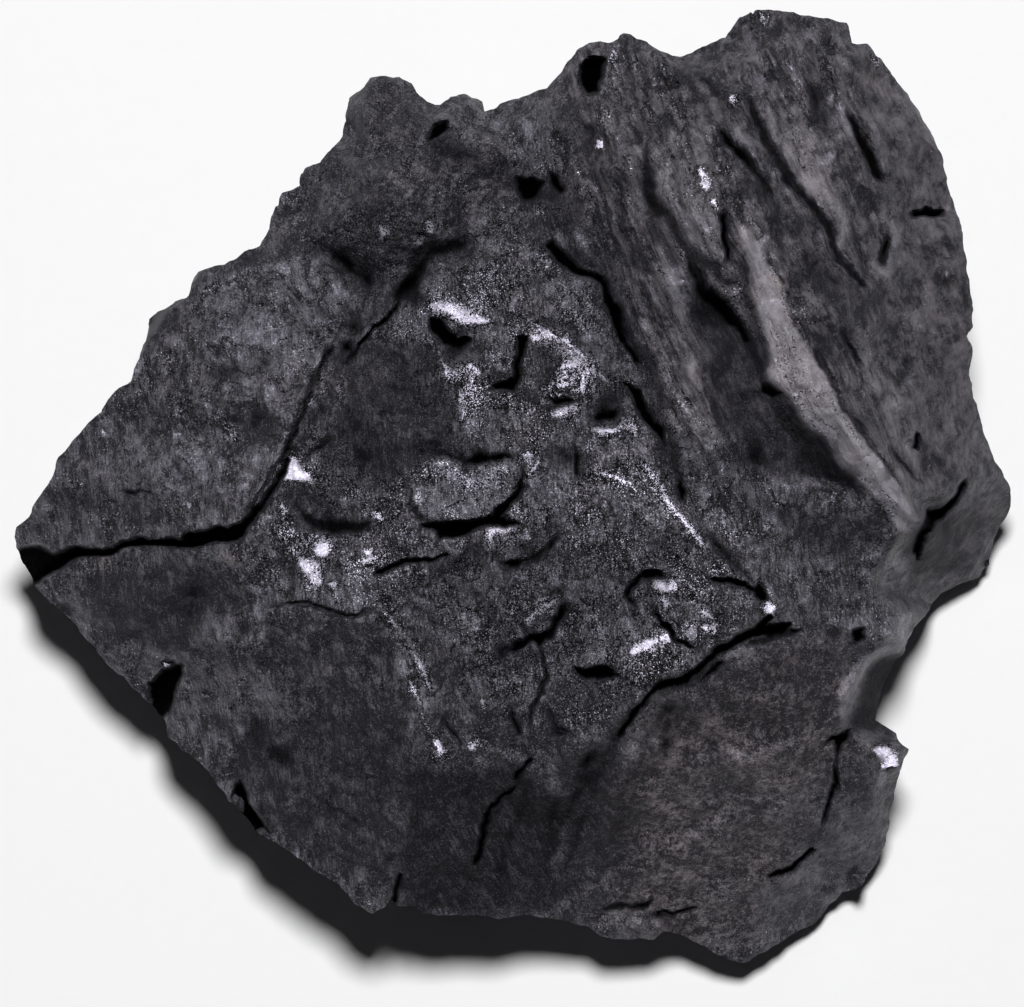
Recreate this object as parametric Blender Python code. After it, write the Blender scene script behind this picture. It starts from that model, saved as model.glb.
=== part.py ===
# Lump of coal, one solid. It is built as a closed sheet: a relief over the plan for the top, walls of
# slanting fracture planes that undercut the rim, and a flat underside that the lump rests on.
# Frame: origin at the middle of the underside, +X along the longest side, +Z up, metres.
# Plan points are in plan units, LUMP_LENGTH / 1000 each: x runs right, y runs from the back to the front.
# Heights in the tables are millimetres above the underside.

import math

import bpy
import numpy as np
from mathutils.geometry import delaunay_2d_cdt

LUMP_LENGTH = 0.0600          # left tip to right tip
PLAN_LENGTH = 1000.0          # the same length in plan units
PLAN_CENTRE = (512.0, 490.0)  # point of the plan that the outline is seen from
MM = 0.001
UNIT = LUMP_LENGTH / PLAN_LENGTH

PLATE_STEP = 1.3              # mm, edge of the raised left plate over the facet in front of it
FRONT_STEP = 1.5              # mm, edge of the middle over the front right facet
GROOVE_DEPTH = 0.7            # mm, long groove between the middle and the fin
FLAKE_RISE = 0.5              # mm, loose flakes over the middle
CREVICE_DEPTH = 1.1           # mm, crevice under the knob
WALL_ROUGHNESS = 0.35         # mm, broken surface of the walls

CELL = 3.0                    # plan units, spacing of the relief
TOP_CELLS = 150               # grid of the top sheet, cells each way
WALL_ROWS = 26                # rows from the rim to the underside
TRIANGLES = 9200              # after thinning

COAL_COLOUR = (0.030, 0.029, 0.032, 1.0)
COAL_ROUGHNESS = 0.46         # satin fracture

# Rim of the lump seen from above, clockwise from the left tip.
OUTLINE = [
    (12, 537), (28, 517), (40, 494), (54, 468), (75, 439), (101, 412), (132, 381), (146, 340),
    (157, 311), (190, 297), (199, 271), (228, 264), (260, 247), (273, 215), (283, 192), (300, 175),
    (328, 155), (345, 128), (349, 98), (372, 80), (400, 79), (420, 97), (440, 106), (462, 94),
    (482, 103), (485, 113), (520, 98), (555, 82), (570, 60), (600, 43), (622, 35), (645, 44),
    (680, 60), (710, 45), (725, 41), (738, 20), (770, 13), (825, 22), (845, 27), (850, 46),
    (880, 62), (905, 95), (930, 135), (945, 175), (960, 225), (970, 290), (972, 327), (966, 337),
    (974, 352), (968, 375), (980, 410), (990, 445), (1007, 475), (1016, 497), (1005, 525),
    (985, 578), (945, 595), (920, 625), (909, 640), (908, 652), (885, 690), (877, 733), (899, 734),
    (911, 749), (900, 780), (892, 815), (888, 850), (865, 890), (835, 910), (800, 937), (762, 960),
    (745, 968), (715, 957), (680, 938), (655, 943), (615, 942), (590, 930), (530, 918), (480, 917),
    (425, 915), (395, 905), (385, 908), (372, 914), (345, 893), (315, 872), (262, 838), (240, 812),
    (215, 783), (180, 750), (163, 722), (140, 697), (105, 665), (80, 635), (55, 608), (30, 584),
    (19, 564),
]

# Ground just outside the rim, which sets the rim's height.
RIM_GROUND = [
    (0, 537, 10.5), (40, 470, 14.0), (90, 405, 16.3), (132, 350, 17.6), (180, 290, 18.2), (242, 240, 17.8),
    (265, 190, 15.2), (295, 155, 15.8), (338, 115, 16.0), (372, 65, 17.0), (422, 80, 17.0), (457, 82, 15.5),
    (492, 90, 15.0), (543, 75, 17.0), (573, 38, 19.0), (622, 22, 20.0), (680, 44, 20.0), (730, 8, 21.0),
    (772, 0, 21.5), (852, 16, 21.0), (905, 75, 19.0), (950, 160, 17.0), (980, 260, 15.5), (986, 335, 14.5),
    (992, 385, 12.5), (1012, 450, 9.5), (1030, 497, 4.5), (1006, 570, 1.4), (955, 612, 0.9), (922, 655, 2.4),
    (900, 698, 6.5), (893, 728, 7.5), (922, 738, 10.5), (912, 790, 7.5), (900, 855, 2.6), (850, 912, 0.8),
    (785, 965, 2.7), (745, 985, 3.6), (690, 955, 5.4), (640, 957, 6.9), (560, 936, 8.8), (480, 932, 11.4),
    (415, 925, 12.6), (376, 928, 13.6), (335, 902, 13.6), (252, 850, 12.6), (195, 790, 12.0), (145, 720, 10.0),
    (85, 662, 10.6), (25, 604, 10.0),
]

# Crests, hollows and foot lines, each a run of points that the facets meet along.
SPINES = {
    "plate front edge": [(62, 552, 13.4), (130, 538, 16.8), (200, 540, 19.3), (242, 528, 20.4), (268, 482, 21.0),
                         (298, 425, 20.8), (326, 348, 19.4), (352, 312, 18.4)],
    "plate back": [(120, 440, 17.0), (165, 372, 18.6), (215, 318, 19.2), (262, 290, 18.8), (312, 300, 18.2)],
    "plate crown": [(150, 470, 18.3), (215, 430, 20.0), (262, 385, 20.4)],
    "knob crest": [(368, 118, 20.6), (388, 178, 23.0), (430, 222, 22.6), (446, 250, 21.4)],
    "knob foot left": [(300, 212, 15.8), (312, 252, 17.2), (352, 272, 18.0), (392, 292, 18.6)],
    "knob foot front": [(398, 302, 18.8), (428, 268, 19.6), (470, 238, 19.8), (512, 214, 19.6)],
    "knob right": [(430, 130, 21.6), (468, 158, 20.6), (520, 188, 19.0)],
    "left tongue": [(272, 566, 19.6), (300, 470, 20.3), (336, 405, 20.3), (372, 345, 20.0)],
    "front crest": [(330, 600, 20.6), (392, 640, 20.6), (410, 712, 19.2), (414, 790, 17.2), (398, 858, 15.4)],
    "front foot": [(470, 700, 19.6), (452, 790, 15.4), (448, 880, 13.0)],
    "middle": [(420, 330, 20.6), (448, 420, 20.8), (440, 520, 20.9), (500, 600, 20.4)],
    "middle right": [(545, 262, 20.0), (590, 345, 20.9), (640, 440, 21.9), (668, 500, 22.1), (706, 560, 21.8)],
    "groove": [(545, 232, 19.4), (592, 268, 20.0), (618, 318, 20.8), (640, 385, 21.4), (668, 455, 21.6),
               (700, 510, 21.4)],
    "fin crest": [(600, 100, 22.0), (622, 160, 22.8), (652, 236, 23.8), (676, 300, 24.0), (698, 372, 23.5),
                  (716, 440, 22.8), (742, 500, 22.0)],
    "fin right foot": [(706, 286, 23.2), (726, 330, 21.9), (744, 400, 20.7), (764, 462, 20.0)],
    "back facet": [(650, 108, 22.8), (692, 128, 24.6), (716, 200, 25.0), (722, 264, 24.4)],
    "pale crest": [(730, 150, 25.0), (744, 232, 26.0), (782, 292, 26.2), (800, 340, 25.8), (832, 394, 25.0),
                   (862, 442, 23.8), (896, 486, 22.2), (913, 524, 20.2)],
    "pale left edge": [(741, 262, 25.4), (756, 322, 25.2), (767, 368, 24.8), (800, 418, 23.6), (838, 468, 22.2),
                       (878, 502, 20.6), (900, 536, 19.4)],
    "hollow": [(736, 312, 23.0), (752, 372, 21.8), (788, 432, 20.4), (830, 480, 19.8), (866, 516, 19.2)],
    "scoop": [(766, 520, 20.8), (820, 545, 19.2), (868, 580, 17.8), (902, 612, 15.6)],
    "front lip": [(706, 606, 22.4), (762, 606, 22.0), (806, 604, 20.4), (858, 634, 18.2), (892, 634, 16.2)],
    "flake lip": [(900, 640, 14.8), (866, 664, 15.8), (846, 706, 15.4)],
    "deep face": [(904, 664, 7.0), (876, 684, 10.6), (862, 722, 11.0)],
    "front step": [(764, 622, 20.8), (716, 662, 21.0), (664, 692, 20.6), (632, 738, 19.4), (560, 760, 18.2)],
    "front ridge": [(770, 650, 20.8), (800, 700, 19.0), (792, 790, 14.4), (772, 880, 8.6), (762, 940, 4.6)],
    "front fold": [(700, 700, 20.4), (676, 760, 17.0), (640, 850, 11.6)],
    "block edge": [(850, 660, 17.2), (842, 732, 15.4), (832, 800, 12.0), (800, 862, 8.4)],
    "block top": [(880, 750, 14.4), (884, 790, 11.4), (866, 848, 6.8)],
    "slab crest": [(800, 40, 23.0), (846, 62, 22.6), (866, 150, 22.6), (884, 240, 21.6), (896, 312, 20.2)],
    "slab face": [(900, 110, 20.0), (930, 200, 18.6), (946, 290, 17.4)],
    "band": [(752, 60, 23.4), (768, 140, 24.6), (806, 214, 25.0), (842, 280, 24.4), (872, 352, 22.4)],
    "right ledge": [(896, 322, 19.6), (932, 342, 18.0), (962, 358, 16.2)],
    "right block": [(884, 400, 20.6), (910, 452, 19.4), (932, 492, 16.8), (966, 482, 14.0)],
    "right block foot": [(908, 528, 18.0), (928, 512, 13.2), (966, 498, 11.4)],
    "low lump": [(918, 596, 7.4), (948, 544, 9.6), (984, 520, 7.6)],
    "left facet": [(90, 600, 12.9), (150, 620, 15.0), (230, 640, 17.6), (300, 700, 17.0), (330, 800, 15.4)],
}

POINTS = [
    (330, 455, 20.4), (500, 290, 20.4), (520, 480, 21.5), (530, 400, 21.0), (600, 520, 21.6), (560, 570, 21.0),
    (600, 600, 21.8), (655, 610, 22.4), (540, 690, 19.6), (500, 760, 17.0), (540, 840, 13.6), (560, 150, 19.6),
    (535, 120, 18.8), (500, 140, 18.4), (590, 200, 21.0), (680, 80, 22.8), (830, 180, 23.6), (250, 590, 19.0),
    (360, 500, 20.6), (240, 740, 14.8), (700, 560, 22.2), (730, 840, 11.6), (930, 430, 17.8), (960, 415, 15.6),
]

# Black wedges between the pieces: depth in mm, width of the bank, closed rim.
WEDGES = [
    (2.2, 6, [(5, 552), (33, 545), (57, 551), (100, 548), (131, 544), (166, 542), (166, 546), (131, 548),
              (100, 553), (65, 562), (35, 582), (12, 600)]),
    (2.0, 6, [(150, 543), (180, 540), (192, 528), (231, 528), (244, 519), (256, 502), (272, 480), (288, 456),
              (291, 459), (276, 488), (262, 508), (250, 525), (238, 544), (200, 548), (166, 547)]),
    (1.8, 6, [(422, 521), (466, 521), (500, 505), (520, 482), (515, 500), (520, 521), (487, 524), (455, 536),
              (436, 531)]),
    (1.8, 6, [(541, 247), (552, 240), (578, 264), (602, 281), (622, 324), (638, 366), (631, 366), (612, 318),
              (592, 287), (556, 263)]),
    (1.8, 6, [(622, 384), (634, 387), (656, 428), (663, 450), (642, 421), (630, 400)]),
    (1.3, 6, [(684, 256), (714, 281), (741, 317), (753, 331), (740, 331), (719, 303), (693, 271)]),
    (2.0, 6, [(912, 548), (918, 522), (941, 503), (966, 480), (969, 485), (946, 511), (922, 536), (915, 558)]),
    (2.0, 6, [(148, 688), (158, 674), (184, 664), (176, 690), (162, 722), (150, 716)]),
    (2.0, 6, [(228, 796), (241, 780), (250, 806), (262, 832), (250, 832), (240, 818)]),
    (2.2, 6, [(765, 617), (758, 629), (784, 632), (749, 639), (707, 660), (683, 677), (647, 703), (641, 704),
              (661, 678), (700, 656), (749, 630)]),
    (1.4, 6, [(574, 662), (603, 666), (621, 674), (600, 676), (577, 669)]),
    (1.4, 6, [(510, 785), (490, 815), (483, 850), (480, 864), (476, 848), (484, 817), (505, 788)]),
    (1.3, 6, [(768, 880), (795, 862), (812, 849), (815, 852), (785, 876)]),
]

# Slanting planes of the walls: azimuth in degrees, distance from the middle at the underside in mm, and how
# far the plane leans out for each mm of height. The first run carries the rim, the second cuts the foot back.
RIM_PLANES = [
    (224, 20.5, 0.23), (142, 17.5, 0.28), (101, 22.5, 0.14), (62, 24.0, 0.20), (40, 23.5, 0.26),
    (11, 26.0, 0.25), (-23, 24.5, 0.40), (-48, 25.0, 0.35), (262, 23.5, 0.30), (183, 24.0, 0.30),
]
FOOT_PLANES = [
    (205, 16.5, 1.05), (243, 17.5, 0.80), (168, 16.0, 1.20), (121, 16.5, 0.90), (78, 19.5, 0.70),
    (27, 19.5, 0.80), (-12, 20.5, 1.05), (286, 20.5, 0.90), (-42, 21.0, 1.05),
]


def noise(x, y, seed, height=None):
    """Smooth gradient noise, about -1 to 1, of two or three coordinates."""
    rng = np.random.default_rng(seed)
    bend = rng.random((64, 64)) * 2.0 * math.pi
    lift = 0.0 if height is None else height
    xi = np.floor(x).astype(int)
    yi = np.floor(y).astype(int)
    fx = x - xi
    fy = y - yi
    sx = fx * fx * fx * (fx * (fx * 6 - 15) + 10)
    sy = fy * fy * fy * (fy * (fy * 6 - 15) + 10)

    def corner(dx, dy):
        angle = bend[(yi + dy) & 63, (xi + dx) & 63] + lift
        return np.cos(angle) * (fx - dx) + np.sin(angle) * (fy - dy)

    low = corner(0, 0) * (1 - sx) + corner(1, 0) * sx
    high = corner(0, 1) * (1 - sx) + corner(1, 1) * sx
    return 1.5 * (low * (1 - sy) + high * sy)


def layered(x, y, size, seed, layers):
    """Noise in layers, each half as wide and half as strong as the one before."""
    total = 0.0
    for k in range(layers):
        total = total + noise(x / size + 7.3 * k, y / size - 3.1 * k, seed + k) * 0.5 ** k
        size = size * 0.5
    return total


# The relief is a grid over the plan. Features are read at wandering coordinates, which makes straight runs
# break as stone does.
xs = np.arange(-60.0, 1100.0, CELL)
ys = np.arange(-60.0, 1060.0, CELL)
planX, planY = np.meshgrid(xs, ys)
wanderX = planX + 6.0 * layered(planX, planY, 60.0, 11, 3)
wanderY = planY + 6.0 * layered(planX, planY, 60.0, 23, 3)


def facets():
    """Height of the facets: flat triangles between the hand-placed points."""
    heights = {}
    edges = []
    runs = [run for run in SPINES.values()] + [RIM_GROUND + RIM_GROUND[:1]]
    order = []

    def place(point):
        key = (point[0], point[1])
        if key not in heights:
            heights[key] = point[2]
            order.append(key)
        return order.index(key)

    for run in runs:
        ids = [place(point) for point in run]
        edges += list(zip(ids[:-1], ids[1:]))
    for point in POINTS:
        place(point)
    corners, _, faces, came, _, _ = delaunay_2d_cdt(order, edges, [], 0, 0.001)
    levels = []
    for corner, origin in zip(corners, came):
        if origin:
            levels.append(heights[order[origin[0]]])
        else:
            near = min(order, key=lambda key: (key[0] - corner.x) ** 2 + (key[1] - corner.y) ** 2)
            levels.append(heights[near])
    height = np.full(planX.shape, 10.0)
    for face in faces:
        a, b, c = (np.array([corners[i].x, corners[i].y, levels[i]]) for i in face)
        normal = np.cross(b - a, c - a)
        if abs(normal[2]) < 1e-9:
            continue
        left, right = np.searchsorted(xs, [min(a[0], b[0], c[0]) - 40, max(a[0], b[0], c[0]) + 40])
        back, front = np.searchsorted(ys, [min(a[1], b[1], c[1]) - 40, max(a[1], b[1], c[1]) + 40])
        part = (slice(back, front), slice(left, right))
        x = wanderX[part]
        y = wanderY[part]
        turn = np.sign(normal[2])
        inside = np.ones(x.shape, bool)
        for p, q in ((a, b), (b, c), (c, a)):
            inside &= turn * ((q[0] - p[0]) * (y - p[1]) - (q[1] - p[1]) * (x - p[0])) >= -1e-6
        plane = a[2] - (normal[0] * (x - a[0]) + normal[1] * (y - a[1])) / normal[2]
        height[part][inside] = plane[inside]
    return height


def blur(field, reach):
    """Average over a square window, twice, reach in plan units."""
    steps = int(round(reach / CELL))
    for _ in range(2):
        for axis in (0, 1):
            total = np.zeros_like(field)
            for shift in range(-steps, steps + 1):
                total += np.roll(field, shift, axis)
            field = total / (2 * steps + 1)
    return field


def along(run, reach):
    """Window round a run of points, with each cell's distance, side and place along the run."""
    run = np.array(run, float)
    left, right = np.searchsorted(xs, [run[:, 0].min() - reach, run[:, 0].max() + reach])
    back, front = np.searchsorted(ys, [run[:, 1].min() - reach, run[:, 1].max() + reach])
    part = (slice(back, front), slice(left, right))
    x = wanderX[part]
    y = wanderY[part]
    lengths = np.hypot(*(run[1:] - run[:-1]).T)
    reached = np.concatenate([[0.0], np.cumsum(lengths)]) / lengths.sum()
    near = np.full(x.shape, 1e9)
    side = np.zeros(x.shape)
    place = np.zeros(x.shape)
    for k in range(len(run) - 1):
        step = run[k + 1] - run[k]
        t = ((x - run[k][0]) * step[0] + (y - run[k][1]) * step[1]) / (step @ step)
        t = np.clip(t, 0.0, 1.0)
        gap = np.hypot(x - run[k][0] - t * step[0], y - run[k][1] - t * step[1])
        turn = np.sign(step[0] * (y - run[k][1]) - step[1] * (x - run[k][0]))
        closer = gap < near
        near = np.where(closer, gap, near)
        side = np.where(closer, turn, side)
        place = np.where(closer, reached[k] + t * (reached[k + 1] - reached[k]), place)
    return part, near, side, place


def ends(place):
    """One along the middle of a run, down to nothing at both ends."""
    return np.clip(np.minimum(place, 1.0 - place) * 6.0, 0.0, 1.0)


def groove(height, run, depth, width):
    """Press a valley of the given half width along the run. A negative depth raises a rib."""
    part, near, _, place = along(run, 3.0 * width + 14.0)
    height[part] -= depth * ends(place) * np.exp(-(near / width) ** 2)


def ledge(height, run, rise, reach, bank=7.0):
    """Raise the ground on the left of the run, sharp at the run and fading out over the reach."""
    part, near, side, place = along(run, 3.0 * reach)
    lift = rise * ends(place) * np.exp(-near / reach) * np.clip(-side * near / bank, 0.0, 1.0)
    height[part] += lift


def within(rim, bank):
    """One inside a closed rim and nothing outside, with a slope as wide as the bank over the rim."""
    part, near, _, _ = along(rim + rim[:1], 30.0)
    x = wanderX[part]
    y = wanderY[part]
    inside = np.zeros(x.shape, bool)
    for (x0, y0), (x1, y1) in zip(rim, rim[1:] + rim[:1]):
        if y0 == y1:
            continue
        crosses = (y0 > y) != (y1 > y)
        inside ^= crosses & (x < (x1 - x0) * (y - y0) / (y1 - y0) + x0)
    return part, np.clip(0.5 + np.where(inside, near, -near) / bank, 0.0, 1.0)


def flake(height, rim, rise):
    """Raise the ground inside a closed rim."""
    part, amount = within(rim, 6.0)
    height[part] += rise * amount


def wedge(height, rim, depth, bank):
    """Sink the ground inside a closed rim."""
    part, amount = within(rim, bank)
    height[part] -= depth * amount


def pit(height, x, y, radius, depth):
    """Press a round hollow. A negative depth raises a knob."""
    height -= depth * np.exp(-(((wanderX - x) ** 2 + (wanderY - y) ** 2) / radius ** 2) ** 1.5)


def top_relief():
    """Height of the whole top in mm: facets, then ledges, grooves and flakes, then broken grain."""
    height = blur(facets(), 6.0)
    crevice = [(30, 580), (50, 560), (80, 550), (130, 546), (200, 545), (238, 542), (252, 505), (285, 455),
               (305, 400), (325, 350), (355, 310)]
    ledge(height, crevice, PLATE_STEP, 90.0)
    groove(height, [(335, 352), (372, 332), (400, 298), (426, 264), (470, 238)], CREVICE_DEPTH, 9.0)
    groove(height, [(306, 248), (342, 264), (384, 290)], 0.9, 12.0)
    groove(height, [(540, 235), (580, 272), (606, 292), (625, 335), (640, 392), (665, 460), (684, 502)],
           GROOVE_DEPTH, 11.0)
    groove(height, [(432, 140), (466, 156), (512, 170), (538, 196)], 1.0, 9.0)
    ledge(height, [(620, 736), (642, 704), (690, 676), (740, 642), (772, 612)], FRONT_STEP, 60.0)
    ledge(height, [(482, 880), (484, 840), (505, 794), (532, 758)], 0.9, 50.0)
    groove(height, [(744, 108), (766, 140), (790, 190), (828, 240), (862, 298)], 0.9, 10.0)
    groove(height, [(692, 96), (740, 155), (768, 200)], 0.6, 9.0)
    groove(height, [(846, 92), (862, 150), (884, 190), (902, 214)], 0.6, 8.0)
    groove(height, [(834, 52), (846, 120), (862, 158)], -0.5, 7.0)
    groove(height, [(866, 330), (886, 400), (910, 460), (934, 492)], -0.5, 7.0)
    groove(height, [(896, 216), (960, 210)], 1.0, 9.0)
    groove(height, [(520, 342), (516, 368), (512, 392)], 0.7, 8.0)
    groove(height, [(430, 334), (460, 336), (486, 350)], 0.7, 10.0)
    groove(height, [(562, 600), (545, 616), (524, 632)], -0.5, 8.0)
    groove(height, [(846, 732), (838, 770), (824, 830)], 0.8, 8.0)
    groove(height, [(902, 616), (872, 656), (848, 690), (842, 720)], -0.8, 9.0)
    flake(height, [(420, 468), (440, 460), (470, 466), (508, 461), (520, 480), (500, 506), (462, 523),
                   (424, 516), (411, 496)], FLAKE_RISE)
    flake(height, [(580, 616), (630, 606), (662, 622), (648, 652), (620, 670), (578, 662)], FLAKE_RISE)
    pit(height, 595, 77, 15.0, 2.2)
    pit(height, 526, 186, 14.0, 1.2)
    pit(height, 592, 136, 12.0, 0.9)
    pit(height, 605, 408, 22.0, 0.9)
    pit(height, 767, 386, 13.0, 0.8)
    pit(height, 466, 102, 18.0, -0.8)
    pit(height, 293, 470, 20.0, -0.6)
    for depth, bank, rim in WEDGES:
        wedge(height, rim, depth, bank)
    height += 0.22 * layered(planX, planY, 70.0, 41, 3)
    return height


def sampled(field, x, y):
    """Value of the relief between its cells."""
    i = np.clip((x - xs[0]) / CELL, 0, len(xs) - 1.001)
    j = np.clip((y - ys[0]) / CELL, 0, len(ys) - 1.001)
    i0 = i.astype(int)
    j0 = j.astype(int)
    u = i - i0
    v = j - j0
    near = field[j0, i0] * (1 - u) + field[j0, i0 + 1] * u
    far = field[j0 + 1, i0] * (1 - u) + field[j0 + 1, i0 + 1] * u
    return near * (1 - v) + far * v


def rim_table():
    """Angle and distance of the rim from the plan's middle, evenly spaced along its length."""
    rim = np.array(OUTLINE[::-1] + OUTLINE[-1:], float)
    t = np.arange(8) / 8.0
    rim = (rim[:-1, None, :] * (1 - t[None, :, None]) + rim[1:, None, :] * t[None, :, None]).reshape(-1, 2)
    rim = np.vstack([rim, rim[:1]])
    x = rim[:, 0] - PLAN_CENTRE[0]
    y = PLAN_CENTRE[1] - rim[:, 1]
    angle = np.unwrap(np.arctan2(y, x))
    angle = np.maximum.accumulate(angle)
    reach = np.hypot(x, y)
    place = np.concatenate([[0.0], np.cumsum(np.hypot(np.diff(x), np.diff(y)))])
    return place / place[-1], angle, reach


def lump_mesh():
    """Vertices in metres and faces of the closed sheet."""
    relief = top_relief()
    half = TOP_CELLS // 2
    side = 2 * half + 1
    i, j = np.meshgrid(np.arange(-half, half + 1), np.arange(-half, half + 1), indexing="ij")
    ring = np.maximum(abs(i), abs(j)) / half
    wide = abs(i) >= abs(j)
    across = np.where(wide, j, i) / np.where(np.where(wide, i, j) == 0, 1, np.where(wide, i, j))
    turn = np.where(wide, np.where(i < 0, math.pi, 0.0) + math.pi / 4 * across,
                    np.where(j < 0, 1.5 * math.pi, 0.5 * math.pi) - math.pi / 4 * across)
    place, angle, reach = rim_table()
    smooth_reach = np.interp(np.arange(512) / 512.0, place, reach)
    for _ in range(60):
        smooth_reach = (np.roll(smooth_reach, 1) + smooth_reach + np.roll(smooth_reach, -1)) / 3.0

    def rim_at(turned):
        s = ((turned - angle[0]) / (2.0 * math.pi)) % 1.0
        bent = np.interp(s, place, angle) - angle[0] - 2.0 * math.pi * s
        far = np.interp(s, place, reach)
        mild = np.interp(s, np.arange(513) / 512.0, np.append(smooth_reach, smooth_reach[0]))
        return bent, far, mild

    # Top sheet: a square grid squeezed to a disc, then stretched to the rim.
    bent, far, mild = rim_at(turn)
    theta = turn + bent * ring ** 2
    radius = ring * (mild + (far - mild) * ring ** 4)
    x = radius * np.cos(theta)
    y = radius * np.sin(theta)
    z = sampled(relief, PLAN_CENTRE[0] + x, PLAN_CENTRE[1] - y)
    top = np.stack([x * UNIT, y * UNIT, z * MM], -1).reshape(-1, 3)

    # Walls: from the rim down to the underside, on the nearest of the slanting planes.
    steps = np.arange(2 * half)
    edge = np.concatenate([
        (2 * half) * side + steps,
        (2 * half - steps) * side + 2 * half,
        2 * half - steps,
        steps * side,
    ])
    rim_x, rim_y, rim_z = (top[edge] / MM).T
    azimuth = np.arctan2(rim_y, rim_x)
    bent, far, mild = rim_at(turn.reshape(-1)[edge])
    t = (np.arange(1, WALL_ROWS + 1) / WALL_ROWS)[:, None]
    level = rim_z * (1.0 - t)

    def wall_reach(z_mm):
        reaches = np.full(np.broadcast(azimuth, z_mm).shape, 1e9)
        for facing, foot, lean in RIM_PLANES + FOOT_PLANES:
            facing_cos = np.cos(azimuth - math.radians(facing))
            reached = (foot + lean * z_mm) / np.maximum(facing_cos, 0.05)
            reaches = np.where(facing_cos > 0.2, np.minimum(reaches, reached), reaches)
        return reaches

    calm_z = rim_z.copy()
    for _ in range(40):
        calm_z = (np.roll(calm_z, 1) + calm_z + np.roll(calm_z, -1)) / 3.0
    fade = np.exp(-(rim_z - level) / 2.5)
    ratio = wall_reach(level) / (wall_reach(calm_z[None, :]) * (1.0 - fade) + wall_reach(rim_z[None, :]) * fade)
    radius = (mild + (far - mild) * fade) * ratio * UNIT / MM
    bulge = np.sin(math.pi * t) ** 0.5
    rough = noise(rim_x * 0.16 + level * 0.21 + 30, rim_y * 0.16 - level * 0.17 + 30, 71)
    rough += 0.5 * noise(rim_x * 0.40 + level * 0.50 + 60, rim_y * 0.40 - level * 0.42 + 60, 72)
    layer = (level + 0.10 * rim_x) * 0.42 + 0.5 * noise(rim_x * 0.11 + 30, rim_y * 0.11 + level * 0.1 + 30, 73)
    radius = radius + bulge * WALL_ROUGHNESS * (1.6 * rough - 1.4 * (layer - np.floor(layer)))
    radius = np.minimum(radius, np.hypot(rim_x, rim_y)[None, :] * (1.0 - 0.004 * t * WALL_ROWS))
    wall = np.stack([radius * np.cos(azimuth), radius * np.sin(azimuth), level + 0 * radius], -1) * MM

    # Underside: flat rings that close on the middle.
    foot = wall[-1]
    rings = [foot * k for k in (0.75, 0.5, 0.25)]
    points = np.vstack([top, wall.reshape(-1, 3), np.vstack(rings), [[0.0, 0.0, 0.0]]])

    lattice = np.arange(side * side).reshape(side, side)
    faces = np.stack([lattice[:-1, :-1], lattice[1:, :-1], lattice[1:, 1:], lattice[:-1, 1:]], -1).reshape(-1, 4)
    count = len(edge)
    rows = np.vstack([edge, side * side + np.arange((WALL_ROWS + 3) * count).reshape(-1, count)])
    after = np.roll(rows, -1, 1)
    walls = np.stack([rows[:-1], rows[1:], after[1:], after[:-1]], -1).reshape(-1, 4)
    cap = [(int(a), len(points) - 1, int(b)) for a, b in zip(rows[-1], after[-1])]
    return points, [tuple(map(int, face)) for face in np.vstack([faces, walls])] + cap


for old in list(bpy.data.objects):
    bpy.data.objects.remove(old, do_unlink=True)

points, faces = lump_mesh()
mesh = bpy.data.meshes.new("coal_lump")
mesh.from_pydata(points.tolist(), [], faces)
mesh.validate()
lump = bpy.data.objects.new("coal_lump", mesh)
bpy.context.scene.collection.objects.link(lump)

# Thin the even grid to broad facets that keep the creases.
thin = lump.modifiers.new("thin", "DECIMATE")
thin.ratio = TRIANGLES / (2.0 * len(faces))
thin.use_collapse_triangulate = True
bpy.context.view_layer.objects.active = lump
lump.select_set(True)
bpy.ops.object.modifier_apply(modifier="thin")

# Set the lump on its underside, over the middle of its box.
place = np.empty(len(lump.data.vertices) * 3)
lump.data.vertices.foreach_get("co", place)
place = place.reshape(-1, 3)
place[place[:, 2] < 0.05 * MM, 2] = 0.0
place[:, :2] -= (place[:, :2].min(0) + place[:, :2].max(0)) / 2.0
lump.data.vertices.foreach_set("co", place.ravel())
lump.data.update()

coal = bpy.data.materials.new("coal")
coal.use_nodes = True
shader = coal.node_tree.nodes["Principled BSDF"]
shader.inputs["Base Color"].default_value = COAL_COLOUR
shader.inputs["Roughness"].default_value = COAL_ROUGHNESS
shader.inputs["Metallic"].default_value = 0.0
lump.data.materials.append(coal)
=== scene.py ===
import math
import bpy
import numpy as np
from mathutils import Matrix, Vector
from mathutils.geometry import delaunay_2d_cdt


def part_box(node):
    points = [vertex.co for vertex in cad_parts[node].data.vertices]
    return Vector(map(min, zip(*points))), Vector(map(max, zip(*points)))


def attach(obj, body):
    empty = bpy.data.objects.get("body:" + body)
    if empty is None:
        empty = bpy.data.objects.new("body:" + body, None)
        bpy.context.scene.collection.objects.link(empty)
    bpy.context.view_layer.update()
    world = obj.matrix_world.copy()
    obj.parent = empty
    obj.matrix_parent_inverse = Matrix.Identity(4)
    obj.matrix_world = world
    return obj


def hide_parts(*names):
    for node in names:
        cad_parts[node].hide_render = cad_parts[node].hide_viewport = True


# Coal lump on pale paper, seen from above. Plan points are in plan units, 1000 across the lump:
# x runs right, y runs from the back edge to the front. Heights are millimetres above the paper.

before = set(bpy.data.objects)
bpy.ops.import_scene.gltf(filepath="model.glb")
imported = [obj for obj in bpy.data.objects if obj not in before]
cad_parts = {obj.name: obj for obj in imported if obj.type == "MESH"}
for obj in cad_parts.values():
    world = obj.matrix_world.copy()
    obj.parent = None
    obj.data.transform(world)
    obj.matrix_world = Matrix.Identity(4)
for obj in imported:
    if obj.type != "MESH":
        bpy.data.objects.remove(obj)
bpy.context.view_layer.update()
lumpLow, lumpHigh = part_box("coal_lump")
print("frame loaded")

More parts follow.
